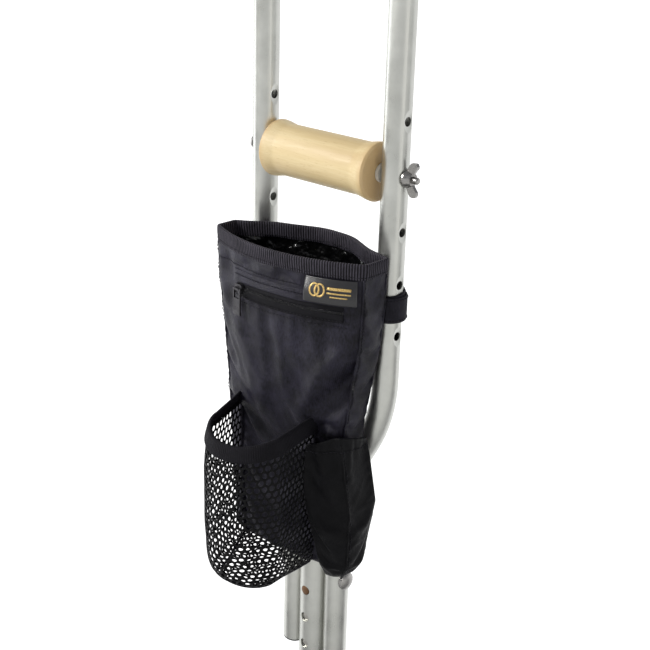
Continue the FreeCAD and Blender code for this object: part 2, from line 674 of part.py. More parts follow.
CORNERS = ("front_left", "front_right", "back_right", "back_left")


def ring_wire(height, inset=0.0):
    """The pouch's whole outline at a height."""
    spots = corners_at(height, inset)
    sides = zip(CORNERS, CORNERS[1:] + CORNERS[:1])
    return Part.Wire([edge_between(spots, start, stop) for start, stop in sides])


def panel_wire(height, start, stop, wall):
    """The section of one cloth panel, mitred at both of its seams."""
    outer, inner = corners_at(height), corners_at(height, wall)
    return Part.Wire([edge_between(outer, start, stop),
                      Part.LineSegment(outer[stop], inner[stop]).toShape(),
                      edge_between(inner, stop, start),
                      Part.LineSegment(inner[start], outer[start]).toShape()])


def loft(wires):
    """A solid with straight sides through several sections."""
    return Part.makeLoft(wires, True, True)


def level_heights(low=None):
    """The heights of the pouch's levels, the lowest of them replaced if another is given."""
    heights = [size(f"pouch_{name}_height") for name in POUCH_LEVELS]
    if low is not None:
        heights[-1] = low
    return heights


def pouch_block():
    """The pouch's whole outer shape, as the tool that the pockets are cut to."""
    return loft([ring_wire(height) for height in level_heights()])


def pouch_panels():
    """The four walls of the pouch and its floor."""
    wall = size("cloth_wall")
    floor = size("pouch_base_height")
    sides = {"pouch_front_panel": ("front_left", "front_right"),
             "pouch_right_gusset": ("front_right", "back_right"),
             "pouch_back_panel": ("back_right", "back_left"),
             "pouch_left_gusset": ("back_left", "front_left")}
    for label, (start, stop) in sides.items():
        feature(label, loft([panel_wire(height, start, stop, wall)
                             for height in level_heights(floor + wall)]))
    feature("pouch_floor", loft([ring_wire(floor), ring_wire(floor + wall)]))


def rim_binding():
    """The binding tape folded over the pouch's rim, inside and out."""
    rim, drop = size("pouch_rim_height"), size("binding_height")
    proud, wall = size("binding_proud"), size("cloth_wall")
    low, top = rim - drop, rim + proud
    outer = loft([scaled_ring(low, rim, -proud), scaled_ring(top, rim, -proud)])
    inner = loft([scaled_ring(low, rim, wall + proud), scaled_ring(top, rim, wall + proud)])
    walls = [NODES[label].Shape for label in NODES if label.startswith("pouch_")]
    feature("rim_binding", solid_of(outer.cut(inner).cut(walls)))


def scaled_ring(height, level, inset):
    """A ring with the outline of one level, laid at another height."""
    wire = ring_wire(level, inset)
    wire.translate(Vector(0, 0, height - level))
    return wire


def front_arc(height, first_x):
    """Centre and radius of the front panel's arc at a height, and the angle of a place on it."""
    spots = corners_at(height)
    circle = Part.Circle(spots["front_left"], spots["front_mid"], spots["front_right"])
    centre, radius = circle.Center, circle.Radius
    across = first_x - centre.x
    return centre, radius, math.atan2(-math.sqrt(radius ** 2 - across ** 2), across)


def arc_slab(centre, inner, outer, low, high, start, sweep):
    """A slab bent about a vertical axis: part of a ring, between two angles."""
    ring = Part.makeCylinder(outer, high - low, Vector(centre.x, centre.y, low),
                             Vector(0, 0, 1), math.degrees(sweep))
    bore = Part.makeCylinder(inner, high - low, Vector(centre.x, centre.y, low))
    ring.rotate(Vector(centre.x, centre.y, 0), Vector(0, 0, 1), math.degrees(start))
    return ring.cut(bore)


def zip_parts(block):
    """The zip: two tapes on the front panel, the coil between them, its slider and pull."""
    z, half, teeth = size("zip_height"), size("zip_width / 2"), size("coil_width / 2")
    centre, radius, start = front_arc(z, size("zip_start"))
    margin, sunk = 5, 1.5
    sweep = (size("zip_travel") + 2 * margin) / radius
    begin = start - margin / radius
    for name, low, high in (("upper", z + teeth, z + half), ("lower", z - half, z - teeth)):
        tape = arc_slab(centre, radius - sunk, radius + 0.9, low, high, begin, sweep)
        feature(f"zip_{name}_tape", tape.cut(block))
    coil = arc_slab(centre, radius - sunk, radius + 1.5, z - teeth, z + teeth, begin, sweep)
    feature("zip_coil", coil.cut(block))
    place = Placement(Vector(centre.x + radius * math.cos(start),
                             centre.y + radius * math.sin(start), z),
                      Rotation(Vector(0, 0, 1), math.degrees(start) + 90))
    feature("zip_slider", zip_slider_shape(), place)
    feature("zip_pull", zip_pull_shape(), place)


SLIDER_HALF = 4.0       # half the width of the slider's plate and of the pull
PIN_OUT = 4.8           # how far the pull's pin stands out from the front panel
PIN_RADIUS = 0.65
PULL_THICKNESS = 2 * PIN_RADIUS


def zip_slider_shape():
    """The slider: a rounded plate on the coil, with a bridge that the pull's pin runs through."""
    width, thick, height = 2 * SLIDER_HALF, 2, 7
    back, corner = -1.9, 1.6
    plate = Part.makeBox(width, thick, height,
                         Vector(-SLIDER_HALF, back - thick, -height / 2))
    bridge_width, bridge_thick, bridge_height = 5, 1.8, 1.6
    bridge = Part.makeBox(bridge_width, bridge_thick, bridge_height,
                          Vector(-bridge_width / 2, back - thick - bridge_thick,
                                 -bridge_height / 2))
    slot = Part.makeCylinder(PIN_RADIUS + 0.1, bridge_width,
                             Vector(-bridge_width / 2, -PIN_OUT, 0), Vector(1, 0, 0))
    slider = plate.fuse(bridge).cut(slot)
    edges = [edge for edge in slider.Edges if edge.BoundBox.YLength > thick - 0.1
             and edge.BoundBox.XLength < 0.1 and edge.BoundBox.ZLength < 0.1
             and abs(abs(edge.CenterOfMass.x) - SLIDER_HALF) < 0.1]
    return slider.makeFillet(corner, edges)


def zip_pull_shape():
    """The pull: a flat tab with a window, on two arms, and the pin between them."""
    width, arm_width = 2 * SLIDER_HALF, 1.1
    arm_length, tab_length = 5.2, 15
    window_height, window_drop = 2.4, 4.5
    front = -PIN_OUT - PULL_THICKNESS / 2
    arms = [Part.makeBox(arm_width, PULL_THICKNESS, arm_length, Vector(x, front, -arm_length))
            for x in (-SLIDER_HALF, SLIDER_HALF - arm_width)]
    pin = Part.makeCylinder(PIN_RADIUS, width, Vector(-SLIDER_HALF, -PIN_OUT, 0),
                            Vector(1, 0, 0))
    tab = Part.makeBox(width, PULL_THICKNESS, tab_length,
                       Vector(-SLIDER_HALF, front, -window_drop - tab_length))
    hole_width = width - 2 * arm_width
    window = Part.makeBox(hole_width, 2 * PULL_THICKNESS, window_height,
                          Vector(-hole_width / 2, front - PULL_THICKNESS / 2,
                                 -window_drop - window_height))
    return tab.fuse(arms + [pin]).cut(window).removeSplitter()


def label_tab():
    """The woven label that hangs from the binding at the right of the front."""
    top = size("pouch_rim_height - binding_height")
    centre, radius, start = front_arc(top - size("label_height / 2"), size("label_start"))
    gap, thick, below = 1.6, 1.0, 0.3
    slab = arc_slab(centre, radius + gap, radius + gap + thick,
                    top - below - size("label_height"), top - below,
                    start, size("label_length") / radius)
    feature("label_tab", slab)


def bottle_wire(height, radius, inset=0.0):
    """The bottle pocket's section: a round front, with straight sides back to the pouch."""
    x, y, root = size("bottle_x"), size("bottle_y"), size("root_y")
    reach = radius - inset
    # the straight sides leave the round front a little forward of its widest place
    lead = math.radians(12)
    across, along = reach * math.cos(lead), y - reach * math.sin(lead)
    left, right = Vector(x - across, along, height), Vector(x + across, along, height)
    front = Vector(x, y - reach, height)
    back_left = Vector(size("root_left") + inset, root, height)
    back_right = Vector(size("root_right") - inset, root, height)
    return Part.Wire([Part.Arc(left, front, right).toShape(),
                      Part.LineSegment(right, back_right).toShape(),
                      Part.LineSegment(back_right, back_left).toShape(),
                      Part.LineSegment(back_left, left).toShape()])


def bottle_levels():
    """Heights and radii of the bottle pocket, from its rounded floor to its drawn-in mouth."""
    radius, floor, rim = size("bottle_radius"), size("bottle_floor"), size("bottle_rim")
    return ((floor, radius - 11), (floor + 9, radius - 3), (floor + 26, radius),
            (rim - 30, radius), (rim, size("mouth_radius")))


def bottle_reach(height):
    """The bottle pocket's radius at a height."""
    levels = bottle_levels()
    if height <= levels[0][0]:
        return levels[0][1]
    for (low, first), (high, last) in zip(levels, levels[1:]):
        if height <= high:
            return first + (last - first) * (height - low) / (high - low)
    return levels[-1][1]


def bottle_steps(low, high):
    """The heights at which the bottle pocket's section changes between two heights."""
    return [low] + [height for height, _ in bottle_levels() if low < height < high] + [high]


def bottle_block(grow, low, high):
    """The bottle pocket's outer shape between two heights, grown outward by grow."""
    return loft([bottle_wire(height, bottle_reach(height), -grow)
                 for height in bottle_steps(low, high)])


def bottle_pocket(block):
    """The mesh bottle pocket and the elastic band round its mouth."""
    wall, floor, rim = size("cloth_wall"), size("bottle_floor"), size("bottle_rim")
    joint = rim - size("band_height")
    outer = bottle_block(0, floor, joint)
    inner = loft([bottle_wire(height, bottle_reach(height), wall)
                  for height in bottle_steps(floor + wall, joint)])
    feature("bottle_pocket_mesh", outer.cut(inner).cut(block))
    ring = bottle_block(0.3, joint, rim).cut(bottle_block(-wall, joint, rim))
    feature("bottle_pocket_band", ring.cut(block))


def pen_wire(name, inset=0.0, rise=0.0):
    """The pen pocket's section at one of its levels; its back lies inside the pouch."""
    height, edge_x, edge_y, seam_x, seam_y, side_x, side_y = (
        size(f"pen_{name}_{part}") for part in PEN_PARTS)
    z = height + rise
    hidden = Vector(34, -22, z)
    spots = [Vector(edge_x + inset, edge_y + 1.3 * inset, z),
             Vector(seam_x - inset, seam_y + 1.2 * inset, z),
             Vector(side_x - inset, side_y - 0.4 * inset, z), hidden]
    return Part.makePolygon(spots + spots[:1])


def pen_pocket(block):
    """The solid cloth pocket on the pouch's front right corner, and the hem of its mouth."""
    wall = size("cloth_wall")
    bottle = bottle_block(0.4, size("bottle_floor") - 6, size("bottle_rim") + 4)
    names = list(PEN_LEVELS)
    outer = loft([pen_wire(name) for name in names])
    inner = loft([pen_wire(name, wall, wall if name == names[-1] else 0) for name in names])
    shell = outer.cut(inner).cut(block).cut(bottle)
    hem, span = size("pen_hem"), 200
    slab = Part.makeBox(span, span, hem, Vector(-span / 2, -span / 2, size("pen_rim") - hem))
    feature("pen_pocket", solid_of(shell.cut(slab)))
    feature("pen_pocket_hem", solid_of(shell.common(slab)))


def solid_of(shape):
    """The largest solid of a result, without any loose slivers."""
    return max(shape.Solids, key=lambda solid: solid.Volume)


def strap(name, side, block):
    """A hook-and-loop strap: a band round the bow, sewn to the pouch's back."""
    x, low = side * size("bow_spacing / 2"), size("strap_middle - strap_height / 2")
    height, thick = size("strap_height"), size("strap_thickness")
    inner = size("bow_diameter / 2") + 0.3
    ring = Part.makeCylinder(inner + thick, height, Vector(x, 0, low))
    length = size("strap_tail")
    tail = Part.makeBox(length, thick, height,
                        Vector(min(x, x - side * length), -inner - thick, low))
    bore = Part.makeCylinder(inner, height, Vector(x, 0, low))
    band = ring.fuse(tail).cut(bore).cut(block)
    feature(f"{name}_strap", solid_of(band))
    # the free end, laid back over the strap on the bow's outer side and held by its hooks
    first, sweep = math.radians(-35 if side > 0 else 95), math.radians(120)
    lap = arc_slab(Vector(x, 0, 0), inner + thick + 0.05, inner + thick + 1.4,
                   low + 1, low + height - 1, first, sweep)
    feature(f"{name}_strap_end", lap.cut(block))


def pouch():
    """The whole pouch, from its walls to its straps."""
    block = pouch_block()
    pouch_panels()
    rim_binding()
    zip_parts(block)
    label_tab()
    bottle_pocket(block)
    pen_pocket(block)
    strap("left", -1, block)
    strap("right", 1, block)


# ------------------------------------------------------------------ build, check and write
def crutch():
    """Every sub-part, from the frame to the pouch."""
    fill_sheet()
    for label, side in (("left_bow", -1), ("right_bow", 1)):
        bow(label, side)
    centre_tube()
    extension_tube()
    snap_button()
    snap_spring()
    washers = cross_bolt("upper", "bolt_high") + cross_bolt("lower", "bolt_low")
    feature("cross_bolt_washers", Part.makeCompound(washers))
    grip_fasteners()
    hand_grip()
    wing_nut()
    rubber_tip()
    centre_plug()
    bow_plugs()
    underarm()
    pouch()
    doc.recompute()


def check():
    """Stop if any object failed to build."""
    for obj in doc.Objects:
        if {"Invalid", "Error"} & set(obj.State):
            raise RuntimeError(f"{obj.Name} failed: {obj.State}")
    for label, obj in NODES.items():
        if obj.Shape.isNull() or not obj.Shape.isValid():
            raise RuntimeError(f"{label} has no valid shape")


def write():
    """Write each sub-part to its own file, and print its size and place."""
    os.makedirs("parts", exist_ok=True)
    for label, obj in NODES.items():
        obj.Shape.exportStep(f"parts/{label}.step")
        box = obj.Shape.BoundBox
        print(f"{label:22s} {len(obj.Shape.Solids)} solid  {obj.Shape.Volume:9.0f} mm3  "
              f"x {box.XMin:6.1f} {box.XMax:6.1f}  y {box.YMin:6.1f} {box.YMax:6.1f}  "
              f"z {box.ZMin:6.1f} {box.ZMax:6.1f}")


crutch()
check()
write()
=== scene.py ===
"""An aluminium underarm crutch with a nylon carry pouch strapped to its uprights.

Lengths are in millimetres until mesh_object() turns them into metres. Axes: +Z up, +X along the grip
towards the wing nut, -Y towards the side that the pouch is on.
"""

import math

import bpy
import numpy as np
from mathutils import Matrix, Vector, noise


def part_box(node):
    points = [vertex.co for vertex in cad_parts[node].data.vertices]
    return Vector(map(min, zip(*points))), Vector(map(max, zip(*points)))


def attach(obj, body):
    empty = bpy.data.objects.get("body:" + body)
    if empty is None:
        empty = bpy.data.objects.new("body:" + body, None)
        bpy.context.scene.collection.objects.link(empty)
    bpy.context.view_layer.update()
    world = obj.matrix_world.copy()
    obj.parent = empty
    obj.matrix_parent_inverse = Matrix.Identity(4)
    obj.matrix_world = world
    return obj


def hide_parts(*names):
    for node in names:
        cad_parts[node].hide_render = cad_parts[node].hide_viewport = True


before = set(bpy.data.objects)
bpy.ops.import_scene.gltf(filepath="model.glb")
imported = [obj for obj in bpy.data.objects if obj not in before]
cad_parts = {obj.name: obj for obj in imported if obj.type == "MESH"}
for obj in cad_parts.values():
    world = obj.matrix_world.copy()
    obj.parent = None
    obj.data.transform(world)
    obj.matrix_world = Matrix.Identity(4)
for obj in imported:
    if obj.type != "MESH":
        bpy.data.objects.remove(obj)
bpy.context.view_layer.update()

MM = 0.001
ROOT = "crutch_frame"

# ---------------------------------------------------------------- sizes that repeat the CAD's
BOW_X = 62.2
BOW_RADIUS = 9.525
RIM = 706.0
CLOTH = 0.8
BINDING_DROP = 10.5
ZIP_Z = 671.0
ZIP_FROM_X = -26.0
ZIP_TRAVEL = 82.0
STRAP_Z = 667.0
STRAP_HEIGHT = 20.0

# height, left x, right x, front left y, front middle y, front right y, back side y, back middle y
POUCH_LEVELS = np.array([
    (706, -65, 71, -46, -60, -37, -13, -5),
    (671, -60, 70, -49, -58.5, -36.5, -13, -8),
    (645, -57, 68, -48, -55, -36, -13, -10),
    (580, -54, 56, -45, -49, -34.5, -13, -12),
    (461, -50, 50, -40, -42, -32, -14, -13),
], float)
# height, then x, y of the front face's left edge, of the corner seam, and of the side face's back edge
PEN_LEVELS = np.array([
    (577, 34, -58, 60, -44.5, 60, -16),
    (522, 42, -60, 74, -47, 72, -16),
    (474, 50, -52, 70, -44, 64, -17),
    (460, 50, -44, 60, -38, 56, -19),
], float)
BOTTLE_CENTRE = (10.0, -81.0)
BOTTLE_TILT = math.radians(12)
BOTTLE_RIM = 579.0
BOTTLE_ROOTS = ((-44.0, -30.0), (31.0, -30.0))
MOUTH_RADIUS = 31.2
BAND_LOW = 569.0


# ---------------------------------------------------------------- colour and materials
def srgb(red, green, blue):
    """A linear colour from its 0 to 255 screen values."""
    def linear(value):
        share = value / 255
        return share / 12.92 if share <= 0.04045 else ((share + 0.055) / 1.055) ** 2.4
    return (linear(red), linear(green), linear(blue), 1.0)


class Finish:
    """A node material: one Principled shader, and helpers for the nodes that feed it."""

    def __init__(self, name, colour, rough, metal=0.0, **numbers):
        self.material = bpy.data.materials.new(name)
        self.material.use_nodes = True
        self.tree = self.material.node_tree
        self.shader = self.tree.nodes["Principled BSDF"]
        self.shader.inputs["Base Color"].default_value = colour
        self.shader.inputs["Roughness"].default_value = rough
        self.shader.inputs["Metallic"].default_value = metal
        for key, value in numbers.items():
            self.shader.inputs[key.replace("_", " ")].default_value = value
        self.normal = None

    def add(self, kind, inputs, **attributes):
        """A node, with its attributes set and its inputs set or linked."""
        node = self.tree.nodes.new("ShaderNode" + kind)
        for key, value in attributes.items():
            setattr(node, key, value)
        for key, value in inputs.items():
            if isinstance(value, bpy.types.NodeSocket):
                self.tree.links.new(value, node.inputs[key])
            else:
                node.inputs[key].default_value = value
        return node

    def place(self, stretch=(1, 1, 1), source="Object"):
        """Object or UV coordinates in metres, stretched."""
        coordinates = self.add("TexCoord", {})
        mapping = self.add("Mapping", {"Vector": coordinates.outputs[source], "Scale": stretch})
        return mapping.outputs["Vector"]

    def noise(self, vector, scale, detail=3.0, rough=0.5):
        node = self.add("TexNoise", {"Vector": vector, "Scale": scale, "Detail": detail,
                                     "Roughness": rough})
        return node.outputs["Fac"]

    def wave(self, vector, period, axis):
        """Parallel bands, period metres apart."""
        node = self.add("TexWave", {"Vector": vector, "Scale": math.pi / 10 / period},
                        bands_direction=axis)
        return node.outputs["Fac"]

    def math(self, operation, first, second):
        return self.add("Math", {0: first, 1: second}, operation=operation).outputs[0]

    def ramp(self, fac, stops):
        """A colour ramp over (position, colour) stops."""
        node = self.add("ValToRGB", {"Fac": fac})
        elements = node.color_ramp.elements
        while len(elements) < len(stops):
            elements.new(0.5)
        for element, (position, colour) in zip(elements, stops):
            element.position = position
            element.color = colour
        return node.outputs["Color"]

    def range(self, fac, low, high, start=0.0, stop=1.0):
        node = self.add("MapRange", {"Value": fac, "From Min": start, "From Max": stop,
                                     "To Min": low, "To Max": high})
        return node.outputs["Result"]

    def mix(self, fac, first, second, blend="MIX"):
        node = self.add("Mix", {0: fac, 6: first, 7: second}, data_type="RGBA", blend_type=blend)
        return node.outputs[2]

    def drive(self, socket, value):
        self.tree.links.new(value, self.shader.inputs[socket])

    def bump(self, height, depth, strength=1.0):
        """Adds a bump whose height 1 is depth millimetres; each call adds to the one before."""
        inputs = {"Height": height, "Distance": depth * MM, "Strength": strength}
        if self.normal is not None:
            inputs["Normal"] = self.normal
        self.normal = self.add("Bump", inputs).outputs["Normal"]
        self.drive("Normal", self.normal)


def aluminium(name="aluminium", tint=(203, 204, 199)):
    """Drawn tube with a satin finish: fine lines along it, faint clouding and small scuffs."""
    look = Finish(name, srgb(*tint), 0.3, 1.0)
    lines = look.noise(look.place((1500, 1500, 9)), 1.0, 2.0)
    clouds = look.noise(look.place(), 38.0, 4.0, 0.6)
    scuffs = look.noise(look.place((300, 300, 120)), 1.0, 4.0, 0.7)
    shade = look.ramp(clouds, [(0.3, srgb(*[value - 13 for value in tint])),
                               (0.7, srgb(*[min(255, value + 7) for value in tint]))])
    marks = look.ramp(scuffs, [(0.66, (0, 0, 0, 1)), (0.74, (1, 1, 1, 1))])
    look.drive("Base Color", look.mix(look.math("MULTIPLY", marks, 0.35), shade,
                                      srgb(222, 222, 218)))
    rough = look.range(look.math("ADD", clouds, look.math("MULTIPLY", lines, 0.5)), 0.25, 0.44,
                       0.5, 1.0)
    look.drive("Roughness", look.math("ADD", rough, look.math("MULTIPLY", marks, 0.12)))
    look.bump(lines, 0.02, 0.35)
    look.bump(scuffs, 0.02, 0.25)
    return look.material


def plated_steel(name="steel", tint=(172, 170, 168), rough=0.27, grain=0.05):
    """Bright zinc plate over a slightly rough casting."""
    look = Finish(name, srgb(*tint), rough, 1.0)
    spots = look.noise(look.place(), 420.0, 3.0, 0.6)
    clouds = look.noise(look.place(), 120.0, 3.0)
    look.drive("Base Color", look.ramp(clouds, [(0.3, srgb(*[value - 34 for value in tint])),
                                                (0.7, srgb(*tint))]))
    look.drive("Roughness", look.range(spots, rough - 0.1, rough + 0.16, 0.3, 0.7))
    look.bump(spots, grain, 0.6)
    return look.material


def turned_wood():
    """Pale maple turned along X: long grain, fine pores, and a colour that is darker towards both ends."""
    look = Finish("turned_wood", srgb(231, 214, 168), 0.5, 0.0, Coat_Weight=0.12,
                  Coat_Roughness=0.35)
    rings = look.noise(look.place((7, 95, 95)), 1.0, 4.0, 0.55)
    fibre = look.noise(look.place((60, 900, 900)), 1.0, 3.0, 0.6)
    pores = look.noise(look.place((160, 1900, 1900)), 1.0, 2.0, 0.5)
    body = look.ramp(rings, [(0.25, srgb(197, 171, 123)), (0.5, srgb(217, 196, 151)),
                             (0.78, srgb(227, 210, 170))])
    fine = look.mix(look.range(fibre, 0.0, 0.5, 0.35, 0.7), body, srgb(205, 183, 136))
    flecks = look.ramp(pores, [(0.27, (1, 1, 1, 1)), (0.36, (0, 0, 0, 1))])
    flecked = look.mix(look.math("MULTIPLY", flecks, 0.45), fine, srgb(171, 139, 92))
    # the colour darkens towards both ends of the grip
    along = look.add("SeparateXYZ", {"Vector": look.place()}).outputs["X"]
    reach = look.math("ABSOLUTE", along, 0.0)
    edge = look.range(look.math("ADD", reach, look.math("MULTIPLY", rings, 0.0035)),
                      0.0, 1.0, 0.0455, 0.0525)
    look.drive("Base Color", look.mix(look.math("MULTIPLY", edge, 0.8), flecked,
                                      srgb(196, 160, 110)))
    look.drive("Roughness", look.range(fibre, 0.42, 0.62, 0.3, 0.7))
    look.bump(fibre, 0.05, 0.5)
    look.bump(flecks, -0.05, 0.5)
    return look.material


def oiled_wood():
    """The saddle's plain hardwood bar."""
    look = Finish("oiled_wood", srgb(188, 150, 102), 0.55)
    grain = look.noise(look.place((9, 160, 160)), 1.0, 5.0, 0.6)
    look.drive("Base Color", look.ramp(grain, [(0.3, srgb(160, 119, 74)),
                                               (0.7, srgb(203, 168, 118))]))
    look.bump(grain, 0.08, 0.6)
    return look.material


def matte(name, colour, lighter, rough, pores=600.0, depth=0.05, sheen=0.0, **numbers):
    """Rubber, foam or moulded plastic: mottled, with fine pores."""
    look = Finish(name, srgb(*colour), rough, 0.0, Sheen_Weight=sheen, **numbers)
    cloud = look.noise(look.place(), 55.0, 4.0, 0.6)
    grit = look.noise(look.place(), pores, 3.0, 0.6)
    look.drive("Base Color", look.ramp(cloud, [(0.3, srgb(*colour)), (0.72, srgb(*lighter))]))
    look.drive("Roughness", look.range(grit, rough - 0.08, min(1.0, rough + 0.1), 0.3, 0.7))
    look.bump(grit, depth, 0.7)
    return look.material


def woven(name, dark, light, rough, pitch=0.62, depth=0.1, sheen=0.35, tint=(120, 118, 140),
          crinkle=0.25, specular=0.14, painted_groove_shade=0.0):
    """Cloth with a plain weave on its UV map, and a tone that varies thread by thread and in blotches.
    Where painted_groove_shade is set, painted shade follows the ribs: darker grooves, lighter rib tops."""
    look = Finish(name, srgb(*dark), rough, 0.0, Sheen_Weight=sheen, Sheen_Roughness=0.4,
                  Sheen_Tint=srgb(*tint), Specular_IOR_Level=specular)
    flat = look.place(source="UV")
    warp = look.wave(flat, pitch * MM, "X")
    weft = look.wave(flat, pitch * MM, "Y")
    weave = look.math("MAXIMUM", warp, weft)
    threads = look.noise(look.place((900, 260, 1), "UV"), 1.0, 2.0, 0.7)
    cloud = look.noise(look.place(), 60.0, 4.0, 0.6)
    share = look.math("ADD", look.math("MULTIPLY", threads, 0.5), look.math("MULTIPLY", cloud, 0.55))
    # painted shade across the ribs: the grooves are painted darker and the rib tops lighter
    if painted_groove_shade:
        share = look.math("ADD", look.math("MULTIPLY", share, 1 - painted_groove_shade),
                          look.math("MULTIPLY", warp, painted_groove_shade))
    look.drive("Base Color", look.ramp(share, [(0.38, srgb(*dark)), (0.72, srgb(*light))]))
    look.drive("Roughness", look.range(threads, rough - 0.12, rough + 0.12, 0.3, 0.7))
    look.bump(look.noise(look.place(), 210.0, 4.0, 0.6), crinkle, 0.6)
    look.bump(weave, depth, 0.7)
    return look.material


def coated_cloth():
    """The shiny black waterproof coating on the pouch's inner side."""
    look = Finish("coated_cloth", srgb(7, 7, 8), 0.22, 0.0, Coat_Weight=0.5, Coat_Roughness=0.15)
    creases = look.noise(look.place(), 115.0, 2.5, 0.5)
    look.drive("Roughness", look.range(creases, 0.12, 0.3, 0.3, 0.7))
    look.bump(creases, 4.5, 1.0)
    return look.material


def satin():
    """Black satin ribbon: fine ribs across and a broad soft shine."""
    look = Finish("satin", srgb(17, 16, 20), 0.3, 0.0, Sheen_Weight=0.05, Sheen_Roughness=0.3,
                  Sheen_Tint=srgb(190, 190, 200), Specular_IOR_Level=0.75)
    flat = look.place(source="UV")
    ribs = look.wave(flat, 0.35 * MM, "Y")
    threads = look.noise(look.place((120, 1600, 1), "UV"), 1.0, 2.0)
    look.drive("Base Color", look.ramp(threads, [(0.35, srgb(13, 12, 16)), (0.7, srgb(24, 23, 28))]))
    look.bump(ribs, 0.05, 0.5)
    return look.material


def gold_print():
    look = Finish("gold_print", srgb(214, 178, 104), 0.42, 0.55)
    speckle = look.noise(look.place(), 1500.0, 2.0)
    look.drive("Base Color", look.ramp(speckle, [(0.35, srgb(190, 152, 82)),
                                                 (0.65, srgb(236, 208, 140))]))
    look.drive("Roughness", look.range(speckle, 0.32, 0.55, 0.3, 0.7))
    return look.material


def floor_finish():
    """A plain white floor that glows, so that it stays white in shadow."""
    look = Finish("studio_floor", (0.3, 0.3, 0.3, 1), 0.9, 0.0, Specular_IOR_Level=0.0,
                  Emission_Color=(1, 1, 1, 1), Emission_Strength=1.0)
    return look.material


def reflector_finish():
    """White behind the object. Towards the front right it is dark near the object, so that little
    light comes up onto the cloth, and a soft grey further out, which the tubes mirror."""
    look = Finish("studio_reflector", (0.3, 0.3, 0.3, 1), 0.9, 0.0, Specular_IOR_Level=0.0,
                  Emission_Strength=1.0)
    spots = look.add("SeparateXYZ", {"Vector": look.place((0.62, -0.78, 1))})
    ahead = look.math("ADD", spots.outputs["X"], spots.outputs["Y"])
    shade = look.range(ahead, 0.0, 1.0, -0.3, 2.0)
    look.drive("Emission Color", look.ramp(shade, [
        (0.07, (0.95, 0.95, 0.95, 1)), (0.15, (0.1, 0.1, 0.1, 1)), (0.28, (0.12, 0.12, 0.12, 1)),
        (0.4, (0.66, 0.66, 0.64, 1)), (1.0, (0.6, 0.6, 0.59, 1))]))
    return look.material


ALUMINIUM = aluminium()
LEG_ALUMINIUM = aluminium("leg_aluminium", (196, 194, 188))
STEEL = plated_steel()
DARK_METAL = plated_steel("dark_metal", (96, 95, 98), 0.36, 0.03)
BRASS = plated_steel("brass", (132, 104, 82), 0.5, 0.05)
WOOD = turned_wood()
SADDLE_WOOD = oiled_wood()
SPACER = matte("spacer_plastic", (203, 200, 190), (221, 219, 211), 0.42)
RUBBER = matte("tip_rubber", (92, 90, 88), (112, 110, 107), 0.72, 500.0, 0.07)
PLASTIC = matte("black_plastic", (26, 26, 28), (38, 38, 41), 0.42, 900.0, 0.03)
FOAM = matte("pad_foam", (128, 121, 113), (148, 141, 132), 0.82, 900.0, 0.14, 0.25)
NYLON = woven("nylon", (9, 8, 13), (48, 46, 60), 0.42, 0.9, 0.2, 0.04, specular=0.2)
# the pen pocket's cloth: the pouch nylon painted darker and less glossy, as painted shade on the pocket, which
# faces away from the key light
SHADED_POCKET_NYLON = woven("pocket_nylon_painted_shade", (7, 7, 9), (19, 19, 22), 0.55, sheen=0.03, specular=0.12)
COATED = coated_cloth()
# the binding's ribs get painted shade: darker in their grooves, lighter on their tops
GROSGRAIN = woven("grosgrain", (14, 13, 17), (72, 69, 78), 0.6, 1.9, 0.1, 0.06, crinkle=0.15, painted_groove_shade=0.35)
WEBBING = woven("webbing", (26, 25, 31), (48, 46, 55), 0.7, 1.1, 0.16, 0.08, crinkle=0.1)
ZIP_TAPE = woven("zip_tape", (12, 12, 15), (27, 26, 31), 0.62, 0.8, 0.12, 0.05, crinkle=0.05)
ELASTIC = woven("elastic", (13, 12, 16), (28, 27, 32), 0.74, 0.9, 0.16, 0.08, crinkle=0.1)
NET = woven("net_yarn", (7, 7, 8), (17, 17, 19), 0.6, 0.5, 0.06, 0.05, crinkle=0.12)
THREAD = woven("thread", (18, 17, 22), (46, 45, 52), 0.6, 0.5, 0.05, 0.05, crinkle=0.02)
ZIP_NYLON = matte("zip_nylon", (26, 26, 28), (40, 40, 43), 0.2, 900.0, 0.02)
SATIN = satin()
GOLD = gold_print()


# ---------------------------------------------------------------- mesh helpers
def mesh_object(name, points, faces, material, uv=None, body=ROOT, smooth=True):
    """A mesh from points in millimetres, riding on a body. uv holds one pair per point."""
    mesh = bpy.data.meshes.new(name)
    mesh.from_pydata((np.asarray(points, float) * MM).tolist(), [], faces)
    mesh.materials.append(material)
    if uv is not None:
        layer = mesh.uv_layers.new(name="UVMap")
        corner = np.empty(len(mesh.loops), np.int32)
        mesh.loops.foreach_get("vertex_index", corner)
        layer.data.foreach_set("uv", (np.asarray(uv, float) * MM)[corner].ravel())
    mesh.polygons.foreach_set("use_smooth", [smooth] * len(mesh.polygons))
    made = bpy.data.objects.new(name, mesh)
    bpy.context.scene.collection.objects.link(made)
    if body:
        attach(made, body)
    return made


def grid_faces(rows, columns, closed=False):
    """Quads over a grid of points held row by row; closed joins the last column to the first."""
    faces = []
    for row in range(rows - 1):
        for column in range(columns if closed else columns - 1):
            beside = (column + 1) % columns
            faces.append((row * columns + column, (row + 1) * columns + column,
                          (row + 1) * columns + beside, row * columns + beside))
    return faces


def grid_uv(grid):
    """Lengths along the rows and down the columns of a grid of points."""
    across = np.linalg.norm(np.diff(grid, axis=1), axis=2).mean(axis=0)
    down = np.linalg.norm(np.diff(grid, axis=0), axis=2).mean(axis=1)
    u = np.concatenate([[0], np.cumsum(across)])
    v = np.concatenate([[0], np.cumsum(down)])
    return np.stack(np.meshgrid(u, v), axis=2).reshape(-1, 2)


